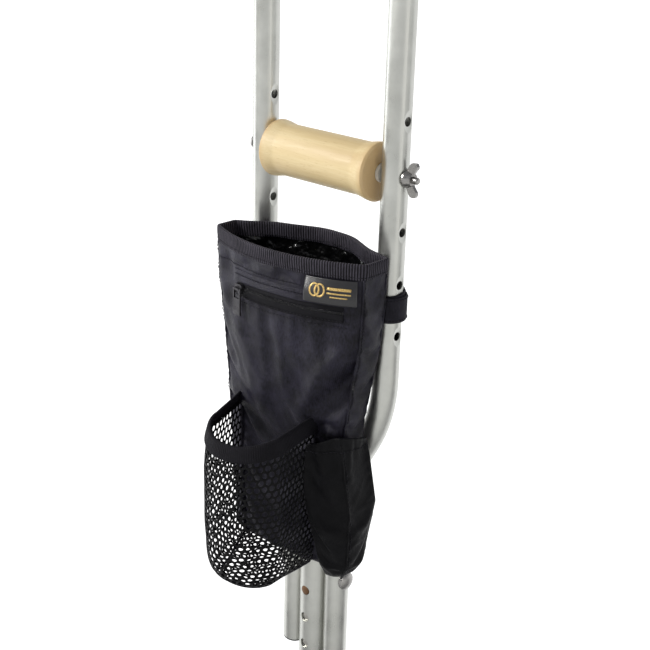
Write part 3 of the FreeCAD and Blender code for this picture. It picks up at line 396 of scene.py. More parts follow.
def sheet_object(name, grid, material, thickness=CLOTH, offset=-1.0, lining=None,
                 levels=1, uv=None):
    """A sheet of cloth from a grid of points: thickened, then smoothed."""
    grid = np.asarray(grid, float)
    made = mesh_object(name, grid.reshape(-1, 3), grid_faces(*grid.shape[:2]), material,
                       grid_uv(grid) if uv is None else uv)
    solid = made.modifiers.new("thickness", "SOLIDIFY")
    solid.thickness = thickness * MM
    solid.offset = offset
    if lining:
        made.data.materials.append(lining)
        solid.material_offset = 1
    if levels:
        rounded = made.modifiers.new("smooth", "SUBSURF")
        rounded.levels = rounded.render_levels = levels
    return made


def unit(vectors):
    return vectors / np.maximum(np.linalg.norm(vectors, axis=-1, keepdims=True), 1e-9)


def resample(path, count, closed=False):
    """Evenly spaced points along a path."""
    path = np.asarray(path, float)
    if closed:
        path = np.vstack([path, path[:1]])
    steps = np.concatenate([[0], np.cumsum(np.linalg.norm(np.diff(path, axis=0), axis=1))])
    wanted = np.linspace(0, steps[-1], count, endpoint=not closed)
    return np.stack([np.interp(wanted, steps, path[:, axis]) for axis in range(path.shape[1])],
                    axis=1)


def path_length(path):
    return float(np.linalg.norm(np.diff(np.asarray(path, float), axis=0), axis=1).sum())


def tube_mesh(path, radius, sides=8, flat=1.0, normals=None):
    """Points and faces of a tube along a path, with both ends closed. flat squeezes it along normals."""
    path = np.asarray(path, float)
    tangents = unit(np.gradient(path, axis=0))
    if normals is None:
        start = np.array([0, 0, 1.0]) if abs(tangents[0][2]) < 0.9 else np.array([1.0, 0, 0])
        normals = [start]
        for tangent in tangents:
            normals.append(unit(normals[-1] - tangent * np.dot(normals[-1], tangent)))
        normals = np.array(normals[1:])
    sideways = unit(np.cross(tangents, normals))
    radii = np.broadcast_to(np.asarray(radius, float), (len(path),))
    turns = np.linspace(0, 2 * math.pi, sides, endpoint=False)
    rings = (path[:, None] + radii[:, None, None]
             * (np.cos(turns)[None, :, None] * sideways[:, None]
                + flat * np.sin(turns)[None, :, None] * normals[:, None]))
    points = rings.reshape(-1, 3)
    faces = grid_faces(len(path), sides, closed=True)
    faces.append(tuple(range(sides)))
    faces.append(tuple(reversed(range((len(path) - 1) * sides, len(path) * sides))))
    return points, faces


def join_meshes(pieces):
    """One list of points and faces from several."""
    points, faces, offset = [], [], 0
    for some_points, some_faces in pieces:
        points.append(some_points)
        faces.extend([tuple(index + offset for index in face) for face in some_faces])
        offset += len(some_points)
    return np.vstack(points), faces


def stitch_run(path, normals, pitch=2.7, share=0.72, radius=0.26, sink=0.05):
    """Thread stitches along a path: short fat-bellied lengths that dive into the cloth at their ends."""
    path = np.asarray(path, float)
    count = max(2, int(path_length(path) / pitch))
    spots = resample(path, count * 2 + 1)
    facing = unit(resample(np.asarray(normals, float), count * 2 + 1)
                  if len(normals) > 1 else np.repeat(normals, count * 2 + 1, axis=0))
    runs = []
    for index in range(count):
        middle = spots[2 * index + 1]
        along = unit(spots[2 * index + 2] - spots[2 * index]) * pitch * share / 2
        out = facing[2 * index + 1]
        line = [middle - along - out * radius, middle - along * 0.7 + out * (radius - sink),
                middle + out * radius, middle + along * 0.7 + out * (radius - sink),
                middle + along - out * radius]
        runs.append(tube_mesh(line, [radius * 0.6, radius, radius * 1.05, radius, radius * 0.6], 5))
    return join_meshes(runs)


def ripple(point, scale, seed):
    """Smooth noise from -1 to 1 at a point in millimetres."""
    return noise.noise(Vector(point) * scale + Vector((seed * 7.31, seed * 3.17, seed * 1.73)))


def smoothstep(value, low, high):
    share = np.clip((value - low) / (high - low), 0, 1)
    return share * share * (3 - 2 * share)


# ---------------------------------------------------------------- cloth simulation
def settle(name, grid, pins, closed=False, growth=0.03, frames=36, bend=0.6, gravity=1.0,
           press=0.0, cap=7.0):
    """Lets a grid of cloth settle under its own weight, from a cut a little larger than its shape.

    pins holds one weight per point, 1 where it is held. The grid is simulated ten times its size,
    where the solver's springs suit it. No point moves further than cap millimetres.
    """
    scale = 10.0
    mesh = bpy.data.meshes.new(name)
    rows, columns = grid.shape[:2]
    start = grid.reshape(-1, 3)
    mesh.from_pydata((start * MM * scale).tolist(), [], grid_faces(rows, columns, closed))
    cloth = bpy.data.objects.new(name, mesh)
    scene = bpy.context.scene
    scene.collection.objects.link(cloth)
    group = cloth.vertex_groups.new(name="held")
    for index, weight in enumerate(pins.ravel()):
        if weight > 0:
            group.add([index], float(weight), "REPLACE")
    modifier = cloth.modifiers.new("cloth", "CLOTH")
    setup = modifier.settings
    setup.quality = 6
    setup.mass = 0.25
    setup.tension_stiffness = setup.compression_stiffness = 18
    setup.shear_stiffness = 8
    setup.bending_stiffness = bend
    setup.tension_damping = setup.compression_damping = 8
    setup.bending_damping = 1.0
    setup.air_damping = 2.0
    setup.vertex_group_mass = "held"
    setup.shrink_min = -growth
    setup.effector_weights.gravity = gravity
    if press:
        setup.use_pressure = True
        setup.uniform_pressure_force = press
    modifier.collision_settings.use_collision = False
    modifier.point_cache.frame_start, modifier.point_cache.frame_end = 1, frames
    for number in range(1, frames + 1):
        scene.frame_set(number)
    settled = cloth.evaluated_get(bpy.context.evaluated_depsgraph_get()).to_mesh()
    points = np.empty(len(start) * 3, float)
    settled.vertices.foreach_get("co", points)
    cloth.to_mesh_clear()
    bpy.data.objects.remove(cloth)
    bpy.data.meshes.remove(mesh)
    scene.frame_set(1)
    moved = points.reshape(-1, 3) / (MM * scale) - start
    length = np.linalg.norm(moved, axis=1, keepdims=True)
    moved *= np.tanh(length / cap) * cap / np.maximum(length, 1e-9)
    return (start + moved).reshape(grid.shape)


# ---------------------------------------------------------------- pouch shape
def circle_through(first, middle, last):
    """Centre and radius of the circle through three points of the plane."""
    a, b, c = (np.asarray(point, float) for point in (first, middle, last))
    left = np.array([b - a, c - a]) * 2
    right = np.array([b @ b - a @ a, c @ c - a @ a])
    centre = np.linalg.solve(left, right)
    return centre, float(np.linalg.norm(a - centre))


def arc_between(first, middle, last, count):
    """Points along the arc from first to last through middle."""
    centre, radius = circle_through(first, middle, last)
    angles = [math.atan2(*(np.asarray(point, float) - centre)[::-1])
              for point in (first, middle, last)]
    angles = np.unwrap(angles)
    turn = np.linspace(angles[0], angles[2], count)
    return centre + radius * np.stack([np.cos(turn), np.sin(turn)], axis=1)


def level_values(height):
    heights = POUCH_LEVELS[::-1, 0]
    return [float(np.interp(height, heights, POUCH_LEVELS[::-1, part])) for part in range(1, 8)]


BACK_SWELL, CORNER_DRAW = 11.0, 15.0
SIDES = {"front": 46, "right": 14, "back": 42, "left": 14}
COLUMNS = sum(SIDES.values())
SIDE_START = dict(zip(SIDES, np.cumsum([0] + list(SIDES.values()))[:-1].tolist()))


def pouch_outline(height):
    """The pouch's outline at a height, with softly rounded corners, starting at the front left."""
    left, right, front_left, front_mid, front_right, back_side, back_mid = level_values(height)
    middle = (left + right) / 2
    front = arc_between((left, front_left), (middle, front_mid), (right, front_right),
                        SIDES["front"] + 1)
    side = np.linspace((right, front_right), (right, back_side), SIDES["right"] + 1)
    back = arc_between((right, back_side), (middle, back_mid), (left, back_side),
                       SIDES["back"] + 1)
    # near the rim the back swells between the uprights, and its left end is drawn forward
    near_rim = float(smoothstep(height, 610, RIM))
    between = 1 - smoothstep(np.abs(back[:, 0] - 8), 8, BOW_X - BOW_RADIUS - 6)
    back[:, 1] += BACK_SWELL * near_rim * between
    back[:, 1] -= CORNER_DRAW * near_rim * (1 - smoothstep(back[:, 0], left, left + 30))
    other = np.linspace(back[-1], (left, front_left), SIDES["left"] + 1)
    loop = np.vstack([front[:-1], side[:-1], back[:-1], other[:-1]])
    for _ in range(2):
        loop = (np.roll(loop, 1, axis=0) + 2 * loop + np.roll(loop, -1, axis=0)) / 4
    return loop


def drag_fold(x, z):
    """How far the front panel's folds push it out: a drag line down from the right seam, with the
    cloth swollen above it and hollow below, and the cloth pushed out again over the pen pocket."""
    start, end = np.array([68.0, 652.0]), np.array([36.0, 594.0])
    length = np.linalg.norm(end - start)
    along = (end - start) / length
    run = ((x - start[0]) * along[0] + (z - start[1]) * along[1]) / length
    off = (x - start[0]) * along[1] - (z - start[1]) * along[0]
    ends = smoothstep(run, -0.2, 0.2) * (1 - smoothstep(run, 0.85, 1.4))
    swell = 4.5 * np.exp(-((off - 6) / 7) ** 2) - 6.5 * np.exp(-((off + 7) / 7) ** 2)
    lower = 3.5 * np.exp(-((x - 50) / 15) ** 2 - ((z - 582) / 10) ** 2)
    left = 2.6 * np.exp(-((x + 22 + (z - 620) * 0.35) / 7) ** 2 - ((z - 622) / 30) ** 2)
    between = 2.4 * np.exp(-((x + 2) / 12) ** 2 - ((z - 628) / 26) ** 2)
    below_zip = smoothstep(z, 640, 662) * smoothstep(x, 5, 25) * (1 - smoothstep(x, 50, 60))
    pucker = 0.9 * below_zip * np.sin(x * 0.75 + 1.5 * np.sin(x * 0.21))
    return ends * swell + lower + left - between + pucker


def crumple(x, z):
    """Small crisp creases, longer down the drag line than across it."""
    across, along = 0.87 * x + 0.5 * z, 0.5 * x - 0.87 * z
    ridges = np.zeros(x.shape)
    for place in np.ndindex(x.shape):
        spot = (across[place], 0.4 * along[place], 7.0)
        ridges[place] = (1 - 2.2 * abs(ripple(spot, 0.05, 5))
                         + 0.45 * (1 - 2.2 * abs(ripple(spot, 0.11, 9))))
    return 1.5 * (ridges - ridges.mean())


ROW_STEP = 3.0
ROW_HEIGHTS = np.append(np.arange(RIM, 461.5, -ROW_STEP), 461.0)


def pouch_walls():
    """The grid of the pouch's outer surface, with wrinkles settled into it."""
    grid = np.zeros((len(ROW_HEIGHTS), COLUMNS, 3))
    for row, height in enumerate(ROW_HEIGHTS):
        grid[row, :, :2] = pouch_outline(height)
        grid[row, :, 2] = height
    x, y, z = grid[..., 0], grid[..., 1], grid[..., 2]
    column = np.arange(COLUMNS)[None, :] + 0 * x
    front = column < SIDE_START["right"]
    back = (column > SIDE_START["back"]) & (column < SIDE_START["left"])
    pins = np.zeros(x.shape)
    pins[z > RIM - BINDING_DROP] = 1.0
    pins[-1] = 1.0
    zip_band = front & (z > ZIP_Z - 9) & (z < ZIP_Z + 15) & (x > -38) & (x < 62)
    pins[zip_band] = 1.0
    under_label = front & (x > LABEL_FROM - 2) & (x < LABEL_FROM + LABEL_LENGTH + 2) & (z > 674)
    pins[under_label] = 1.0
    straps = back & (abs(z - STRAP_Z) < STRAP_HEIGHT / 2) & (abs(abs(x) - 45) < 14)
    pins[straps] = 1.0
    for corner in SIDE_START.values():
        pins[:, corner] = np.maximum(pins[:, corner], 0.85)
    sewn = front & (z < BOTTLE_RIM) & ((abs(x + 40) < 2.5) | (abs(x - 41) < 3))
    pins[sewn] = 0.9
    for row in range(grid.shape[0]):
        for place in range(COLUMNS):
            spot = grid[row, place]
            free = 1 - pins[row, place]
            push = free * 1.1 * ripple((spot[0], spot[1], spot[2] * 0.55), 0.045, 3)
            outward = unit(spot[:2] - np.array([2.0, -30.0]))
            grid[row, place, :2] += push * outward
    settled = settle("pouch_cloth", grid, pins, closed=True, growth=0.035, frames=40, bend=2.5)
    folds = front * (1 - pins) * drag_fold(x, z)
    for _ in range(2):
        folds[1:-1] = (folds[:-2] + 2 * folds[1:-1] + folds[2:]) / 4
    folds += (1 - pins) * (~back) * crumple(x + 0.6 * y, z)
    # the cloth lies flatter where the zip's pull swings
    folds *= 1 - 0.85 * front * smoothstep(z, 636, 649) * (1 - smoothstep(abs(x - 15), 46, 56))
    settled[..., 1] -= folds
    # the back keeps clear of the uprights that it hangs from
    for side in (-1, 1):
        away = np.abs(settled[..., 0] - side * BOW_X)
        inside = away < BOW_RADIUS + 1
        front_of_tube = -np.sqrt(np.maximum((BOW_RADIUS + 1.2) ** 2 - away ** 2, 0)) - 0.1
        clear = np.minimum(settled[..., 1], front_of_tube)
        settled[..., 1] = np.where(inside & (settled[..., 2] > 610), clear, settled[..., 1])
    return settled


class Walls:
    """The settled pouch: points and outward normals anywhere on its outer surface."""

    def __init__(self, grid):
        self.grid = np.concatenate([grid, grid[:, :1]], axis=1)
        down = np.gradient(grid, axis=0)
        along = (np.roll(grid, -1, axis=1) - np.roll(grid, 1, axis=1)) / 2
        normals = unit(np.cross(down, along))
        self.normals = np.concatenate([normals, normals[:, :1]], axis=1)

    @staticmethod
    def row(height):
        return (RIM - height) / ROW_STEP

    @staticmethod
    def column(side, share):
        return SIDE_START[side] + share * SIDES[side]

    def _read(self, field, row, column):
        row = np.clip(np.asarray(row, float), 0, field.shape[0] - 1.001)
        column = np.mod(np.asarray(column, float), COLUMNS)
        top, left = np.floor(row).astype(int), np.floor(column).astype(int)
        down, right = (row - top)[..., None], (column - left)[..., None]
        upper = field[top, left] * (1 - right) + field[top, left + 1] * right
        lower = field[top + 1, left] * (1 - right) + field[top + 1, left + 1] * right
        return upper * (1 - down) + lower * down

    def point(self, row, column):
        return self._read(self.grid, row, column)

    def normal(self, row, column):
        return unit(self._read(self.normals, row, column))


def pouch_panels(walls):
    """Front, back, gussets and floor: single sheets, woven outside and coated inside."""
    names = {"front": "pouch_front_panel", "right": "pouch_right_gusset",
             "back": "pouch_back_panel", "left": "pouch_left_gusset"}
    for side, name in names.items():
        first = SIDE_START[side]
        panel = walls.grid[:, first:first + SIDES[side] + 1]
        made = sheet_object(name + "_cloth", panel, NYLON, lining=COATED)
        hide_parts(name)
        width, height = path_length(panel[30]), path_length(panel[:, SIDES[side] // 2])
    ring = walls.grid[-1, :-1]
    centre = ring.mean(axis=0)
    shares = np.linspace(1, 0.04, 12)
    rings = np.array([centre + (ring - centre) * share for share in shares])
    sag = 1.6 * (1 - shares ** 2)
    rings[..., 2] += 0.6 - sag[:, None]
    rows, columns = rings.shape[:2]
    faces = grid_faces(rows, columns, closed=True) + [tuple(range((rows - 1) * columns, rows * columns))]
    made = mesh_object("pouch_floor_panel", rings.reshape(-1, 3), faces, NYLON,
                       rings.reshape(-1, 3)[:, :2])
    made.data.materials.append(COATED)
    solid = made.modifiers.new("thickness", "SOLIDIFY")
    solid.thickness, solid.offset, solid.material_offset = CLOTH * MM, -1, 1
    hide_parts("pouch_floor")


def seam(walls, name, column, low, high, radius=0.75):
    """A turned seam down one corner of the pouch, with a row of stitches beside it."""
    rows = walls.row(np.linspace(high, low, int((high - low) / 2.5)))
    columns = np.full(len(rows), column)
    path = walls.point(rows, columns) + walls.normal(rows, columns) * 0.15
    wobble = np.array([0.25 * ripple(spot, 0.09, 5) for spot in path])
    path += walls.normal(rows, columns) * wobble[:, None]
    points, faces = tube_mesh(path, radius, 8)
    made = mesh_object(name, points, faces, NYLON, points[:, [0, 2]])
    beside = np.full(len(rows), column + 0.9)
    line = walls.point(rows, beside) + walls.normal(rows, beside) * 0.1
    stitched, stitch_faces = stitch_run(line, walls.normal(rows, beside))
    threads = mesh_object(name + "_stitches", stitched, stitch_faces, THREAD,
                          stitched[:, [0, 2]])
    return made, threads


def rim_binding(walls):
    """Grosgrain tape folded over the rim: upright ribs outside and inside, and a row of stitches."""
    rib_pitch, steps = 1.9, 8
    loop = walls.grid[0, :-1]
    length = path_length(np.vstack([loop, loop[:1]]))
    ribs = int(length / rib_pitch)
    count = ribs * steps
    columns = np.linspace(0, COLUMNS, count, endpoint=False)
    # even spacing along the rim, so that the ribs are equally wide at the corners
    fine = walls.point(np.zeros(count), columns)
    steps_along = np.linalg.norm(np.roll(fine, -1, axis=0) - fine, axis=1)
    travelled = np.concatenate([[0], np.cumsum(steps_along)])
    columns = np.interp(np.linspace(0, travelled[-1], count, endpoint=False), travelled,
                        np.append(columns, COLUMNS))
    rib = 0.5 * np.abs(np.sin(np.arange(count) * math.pi / steps)) ** 0.7 - 0.2
    rib += 0.08 * np.array([ripple((place, 0, 0), 0.21, 9) for place in range(count)])
    drop, edge = BINDING_DROP, 0.35
    profile = [(0.1, -drop, 0), (0.55, -drop + edge, 0.6), (0.75, -drop + 1.4, 1),
               (0.62, -drop + 2.3, 0.8), (0.8, -drop + 3.4, 1), (0.95, -4.0, 1),
               (0.9, -1.2, 1), (0.7, 0.25, 1), (0.2, 0.95, 0.8), (-0.5, 1.1, 0.6),
               (-1.2, 0.9, -0.8), (-1.6, 0.1, -1), (-1.75, -1.4, -1), (-1.75, -4.0, -1),
               (-1.6, -drop + 3.0, -1), (-1.45, -drop + 1.2, -1), (-1.2, -drop + edge, -0.6),
               (-CLOTH + 0.1, -drop, 0)]
    rows = []
    flats = []
    across = np.arange(count) * rib_pitch / steps
    travel = 0.0
    previous = None
    for out, rise, share in profile:
        level = np.full(count, walls.row(RIM + min(rise, 0)))
        base = walls.point(level, columns)
        normal = walls.normal(np.full(count, walls.row(RIM - 3)), columns)
        normal[:, 2] = 0
        normal = unit(normal)
        line = base + normal * (out + share * rib)[:, None]
        line[:, 2] += max(rise, 0)
        rows.append(line)
        if previous is not None:
            travel += math.hypot(out - previous[0], rise - previous[1])
        previous = (out, rise)
        flats.append(np.stack([across, np.full(count, travel)], axis=1))
    grid = np.array(rows)
    faces = grid_faces(len(rows), count, closed=True)
    made = mesh_object("rim_binding_tape", grid.reshape(-1, 3), faces, GROSGRAIN,
                       np.vstack(flats))
    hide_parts("rim_binding")
    seam_row = np.full(300, walls.row(RIM - drop + 2.3))
    seam_columns = np.linspace(0, COLUMNS, 300)
    for name, offset, facing in (("outside", 0.78, 1), ("inside", -1.72, -1)):
        normal = walls.normal(seam_row, seam_columns)
        line = walls.point(seam_row, seam_columns) + normal * offset
        points, stitch_faces = stitch_run(line, normal * facing)
        mesh_object(f"rim_binding_stitches_{name}", points, stitch_faces, THREAD,
                    points[:, [0, 2]])


# ---------------------------------------------------------------- zip
def zip_circle():
    left, right, front_left, front_mid, front_right = level_values(ZIP_Z)[:5]
    return circle_through((left, front_left), ((left + right) / 2, front_mid),
                          (right, front_right))


def zip_points(shares, out, height):
    """Points beside the zip's arc: share 0 is at the slider's rest, 1 at the end of its travel."""
    centre, radius = zip_circle()
    start = math.atan2(-math.sqrt(radius ** 2 - (ZIP_FROM_X - centre[0]) ** 2),
                       ZIP_FROM_X - centre[0])
    angle = start + np.asarray(shares, float) * ZIP_TRAVEL / radius
    reach = radius + np.asarray(out, float)
    return np.stack([centre[0] + reach * np.cos(angle), centre[1] + reach * np.sin(angle),
                     ZIP_Z + np.asarray(height, float) + 0 * angle], axis=-1)


def zip_parts(walls):
    """Tapes, coil, the flap over them and their stitches. The slider and pull are the CAD's."""
    begin, end = -5 / ZIP_TRAVEL, 1 + 5 / ZIP_TRAVEL
    shares = np.linspace(begin, end, 64)
    for name, heights in (("zip_upper_tape", (7.6, 6.4, 4.5, 2.6, 1.1)),
                          ("zip_lower_tape", (-1.1, -2.6, -4.5, -6.4, -7.6))):
        outs = (0.35, 0.55, 0.6, 0.7, 0.95) if name == "zip_upper_tape" else (0.95, 0.7, 0.6, 0.55, 0.35)
        grid = np.array([zip_points(shares, out, height) for out, height in zip(outs, heights)])
        made = sheet_object(name + "_cloth", grid, ZIP_TAPE, 0.5, -1.0)
        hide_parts(name)
    turns = 76
    steps = 14
    along = np.linspace(begin, end, turns * steps)
    phase = np.arange(turns * steps) * 2 * math.pi / steps
    spots = zip_points(along, 0.72 + 0.5 * np.sin(phase), 0.0)
    spots[:, 2] = ZIP_Z + 1.15 * np.cos(phase)
    points, faces = tube_mesh(spots, 0.26, 5)
    made = mesh_object("zip_coil_teeth", points, faces, ZIP_NYLON)
    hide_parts("zip_coil")

    shares = np.linspace(begin - 0.06, end + 0.06, 70)
    profile = ((13.0, 0.25), (12.0, 0.75), (9.5, 1.0), (7.0, 1.35), (5.2, 1.75), (4.4, 1.6),
               (4.6, 1.0), (6.0, 0.75))
    fade = smoothstep(shares, shares[0], shares[0] + 0.05) * (1 - smoothstep(
        shares, shares[-1] - 0.05, shares[-1]))
    sway = np.array([0.5 * ripple((share * 60, 0, 0), 0.12, 21) for share in shares])
    grid = np.array([zip_points(shares, 0.1 + out * (0.35 + 0.65 * fade), height + sway * (height < 8))
                     for height, out in profile])
    flap = sheet_object("zip_flap", grid, NYLON, 0.5, -1.0)
    runs = []
    for height, out in ((9.6, 1.3), (-6.2, 0.75), (-10.5, 0.3)):
        line = zip_points(np.linspace(begin - 0.03, end + 0.03, 80), out, height)
        centre = zip_circle()[0]
        normals = unit(np.concatenate([line[:, :2] - centre, np.zeros((len(line), 1))], axis=1))
        runs.append(stitch_run(line, normals))
    points, faces = join_meshes(runs)
    mesh_object("zip_stitches", points, faces, THREAD, points[:, [0, 2]])

    # a row of topstitching crosses the panel above the zip
    rows = []
    for height in (686.5,):
        columns = np.linspace(walls.column("front", 0.03), walls.column("front", 0.97), 120)
        level = np.full(len(columns), walls.row(height))
        normal = walls.normal(level, columns)
        rows.append(stitch_run(walls.point(level, columns) + normal * 0.05, normal))
    points, faces = join_meshes(rows)
    mesh_object("front_topstitching", points, faces, THREAD, points[:, [0, 2]])


# ---------------------------------------------------------------- label
LABEL_TOP, LABEL_DROP, LABEL_FROM, LABEL_LENGTH = 694.8, 17.0, 33.0, 37.0


def label_point(share, drop, lift=0.0):
    """A point on the label's face: share along it, drop from 0 at the top to 1 at the fold."""
    height = LABEL_TOP - drop * LABEL_DROP
    left, right, front_left, front_mid, front_right = level_values(height)[:5]
    centre, radius = circle_through((left, front_left), ((left + right) / 2, front_mid),
                                    (right, front_right))
    start = math.atan2(-math.sqrt(radius ** 2 - (LABEL_FROM - centre[0]) ** 2),
                       LABEL_FROM - centre[0])
    angle = start + share * LABEL_LENGTH / radius
    swell = (0.75 + 4.4 * math.sin(min(max(drop, 0), 1) * math.pi * 0.6)
             + 1.5 * max(0, math.sin(min(max(share, 0), 1) * math.pi)) ** 0.6)
    reach = radius + swell + lift
    return np.array([centre[0] + reach * math.cos(angle), centre[1] + reach * math.sin(angle),
                     height])


def label():
    """A folded satin ribbon under the binding, with a plain gold emblem printed on it."""
    shares = np.linspace(0, 1, 30)
    drops = np.linspace(-0.03, 0.97, 14)
    face = [[label_point(share, drop) for share in shares] for drop in drops]
    for back, rise in ((-0.5, 0.995), (-1.1, 1.0), (-1.6, 0.96), (-1.9, 0.85), (-1.9, 0.6),
                       (-1.5, 0.3), (-0.9, 0.05)):
        face.append([label_point(share, rise, back) for share in shares])
    grid = np.array(face)
    made = sheet_object("label_ribbon", grid, SATIN, 0.28, -1.0)
    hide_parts("label_tab")

    pieces = []

    def patch(left, right, top, bottom, columns=10):
        """A printed bar between two shares and two drops."""
        spots = [[label_point(share, drop, 0.1) for share in np.linspace(left, right, columns)]
                 for drop in np.linspace(top, bottom, 3)]
        pieces.append((np.array(spots).reshape(-1, 3), grid_faces(3, columns)))

    def ring(centre_share, centre_drop, wide, tall, tilt, width=0.017):
        """A printed oval line."""
        turn = np.linspace(0, 2 * math.pi, 40, endpoint=False)
        rows = []
        for grow in (-width, width):
            across = (wide + grow) * np.cos(turn)
            down = (tall + grow * 2.1) * np.sin(turn)
            rows.append([label_point(centre_share + a * math.cos(tilt) - d * math.sin(tilt) / 2.2,
                                     centre_drop + (a * math.sin(tilt) * 2.2 + d * math.cos(tilt)), 0.1)
                         for a, d in zip(across, down)])
        pieces.append((np.array(rows).reshape(-1, 3), grid_faces(2, 40, closed=True)))

    ring(0.22, 0.44, 0.09, 0.24, 0.0)
    ring(0.32, 0.44, 0.09, 0.24, 0.0)
    patch(0.46, 0.9, 0.27, 0.38)
    patch(0.46, 0.9, 0.47, 0.53)
    patch(0.52, 0.84, 0.62, 0.67)
    points, faces = join_meshes(pieces)
    printed = mesh_object("label_print", points, faces, GOLD)
    solid = printed.modifiers.new("thickness", "SOLIDIFY")
    solid.thickness, solid.offset = 0.06 * MM, 1


# ---------------------------------------------------------------- bottle pocket
def front_face_y(x, height):
    """The front panel's y at x, from its arc."""
    left, right, front_left, front_mid, front_right = level_values(height)[:5]
    centre, radius = circle_through((left, front_left), ((left + right) / 2, front_mid),
                                    (right, front_right))
    return centre[1] - math.sqrt(radius ** 2 - (x - centre[0]) ** 2)


def bottle_path(height, radius, count):
    """The bottle pocket's section: from the panel, round the front, back to the panel."""
    centre = np.array(BOTTLE_CENTRE)
    left = centre + radius * np.array([-math.cos(BOTTLE_TILT), -math.sin(BOTTLE_TILT)])
    right = centre + radius * np.array([math.cos(BOTTLE_TILT), -math.sin(BOTTLE_TILT)])
    ends = []
    for tangent, root in zip((left, right), BOTTLE_ROOTS):
        line = np.linspace(np.array(root), tangent, 60)
        outside = [spot for spot in line if spot[1] < front_face_y(spot[0], height) - 0.2]
        ends.append(outside[0])
    arc = arc_between(left, centre + (0, -radius), right, 90)
    path = resample(np.vstack([ends[0], arc, ends[1]]), count)
    # the mouth sags at the front, where nothing holds it up
    share = np.abs(np.linspace(0, 1, count) - 0.52)
    rise = 5.0 * smoothstep(share, 0.04, 0.26) * float(smoothstep(height, 530, BOTTLE_RIM))
    return np.concatenate([path, (height + rise)[:, None]], axis=1)


BOTTLE_MERIDIAN = np.array([(BAND_LOW + 3, 32.8), (560, 34.3), (548, 34.9), (515, 35.2), (495, 34.8), (483, 33.9),
                            (475, 32.2), (469, 29.6), (465, 26.2), (463.4, 22.5)])


def bottle_surface():
    """A grid down the bottle pocket, evenly spaced along its meridian."""
    fine = resample(BOTTLE_MERIDIAN, 60)
    for _ in range(6):
        fine[1:-1] = (fine[:-2] + 2 * fine[1:-1] + fine[2:]) / 4
    fine = resample(fine, 60)
    grid = np.array([bottle_path(height, radius, 160) for height, radius in fine])
    centre = np.array([*BOTTLE_CENTRE, 0])
    for row in range(grid.shape[0]):
        for place in range(grid.shape[1]):
            spot = grid[row, place]
            out = unit((spot - centre) * (1, 1, 0))
            hold = min(place, 159 - place, 14) / 14
            grid[row, place] += out * hold * 0.8 * ripple(spot, 0.05, 12)
    return grid, path_length(fine)


def hexagon_net(width, height, pitch, hole, place):
    """A net of hexagons with round holes, over width by height; place turns (u, v) into a point."""
    rise = pitch * math.sqrt(3) / 2
    radius = pitch / math.sqrt(3)
    points, index, faces = [], {}, []

    def vertex(u, v, key=None):
        u, v = min(max(u, 0), width), min(max(v, 0), height)
        key = (round(u, 2), round(v, 2)) if key is None else key
        if key not in index:
            sway = noise.noise_vector(Vector((u, v, 0)) * 0.31) * 0.42
            inside = 0 < u < width and 0 < v < height
            index[key] = len(points)
            points.append((u + sway[0] * inside, v + sway[1] * inside))
        return index[key]

    for row in range(int(height / rise) + 2):
        for column in range(-1, int(width / pitch) + 2):
            u, v = (column + 0.5 * (row % 2)) * pitch, row * rise
            if not -pitch / 2 < u < width + pitch / 2 or not -radius < v < height + radius / 2:
                continue
            corners = [(u + radius * math.sin(turn), v + radius * math.cos(turn))
                       for turn in (math.pi / 3 * step for step in range(6))]
            outer = [vertex(*corner) for corner in corners]
            middle = np.mean([points[number] for number in outer], axis=0)
            inner = []
            for step, number in enumerate(outer):
                spot = middle + (np.array(points[number]) - middle) * hole
                index[(row, column, step)] = len(points)
                points.append(tuple(spot))
                inner.append(len(points) - 1)
            for step in range(6):
                beside = (step + 1) % 6
                quad = (outer[step], outer[beside], inner[beside], inner[step])
                if len(set(quad)) == 4:
                    faces.append(quad)
    return np.array([place(u, v) for u, v in points]), faces


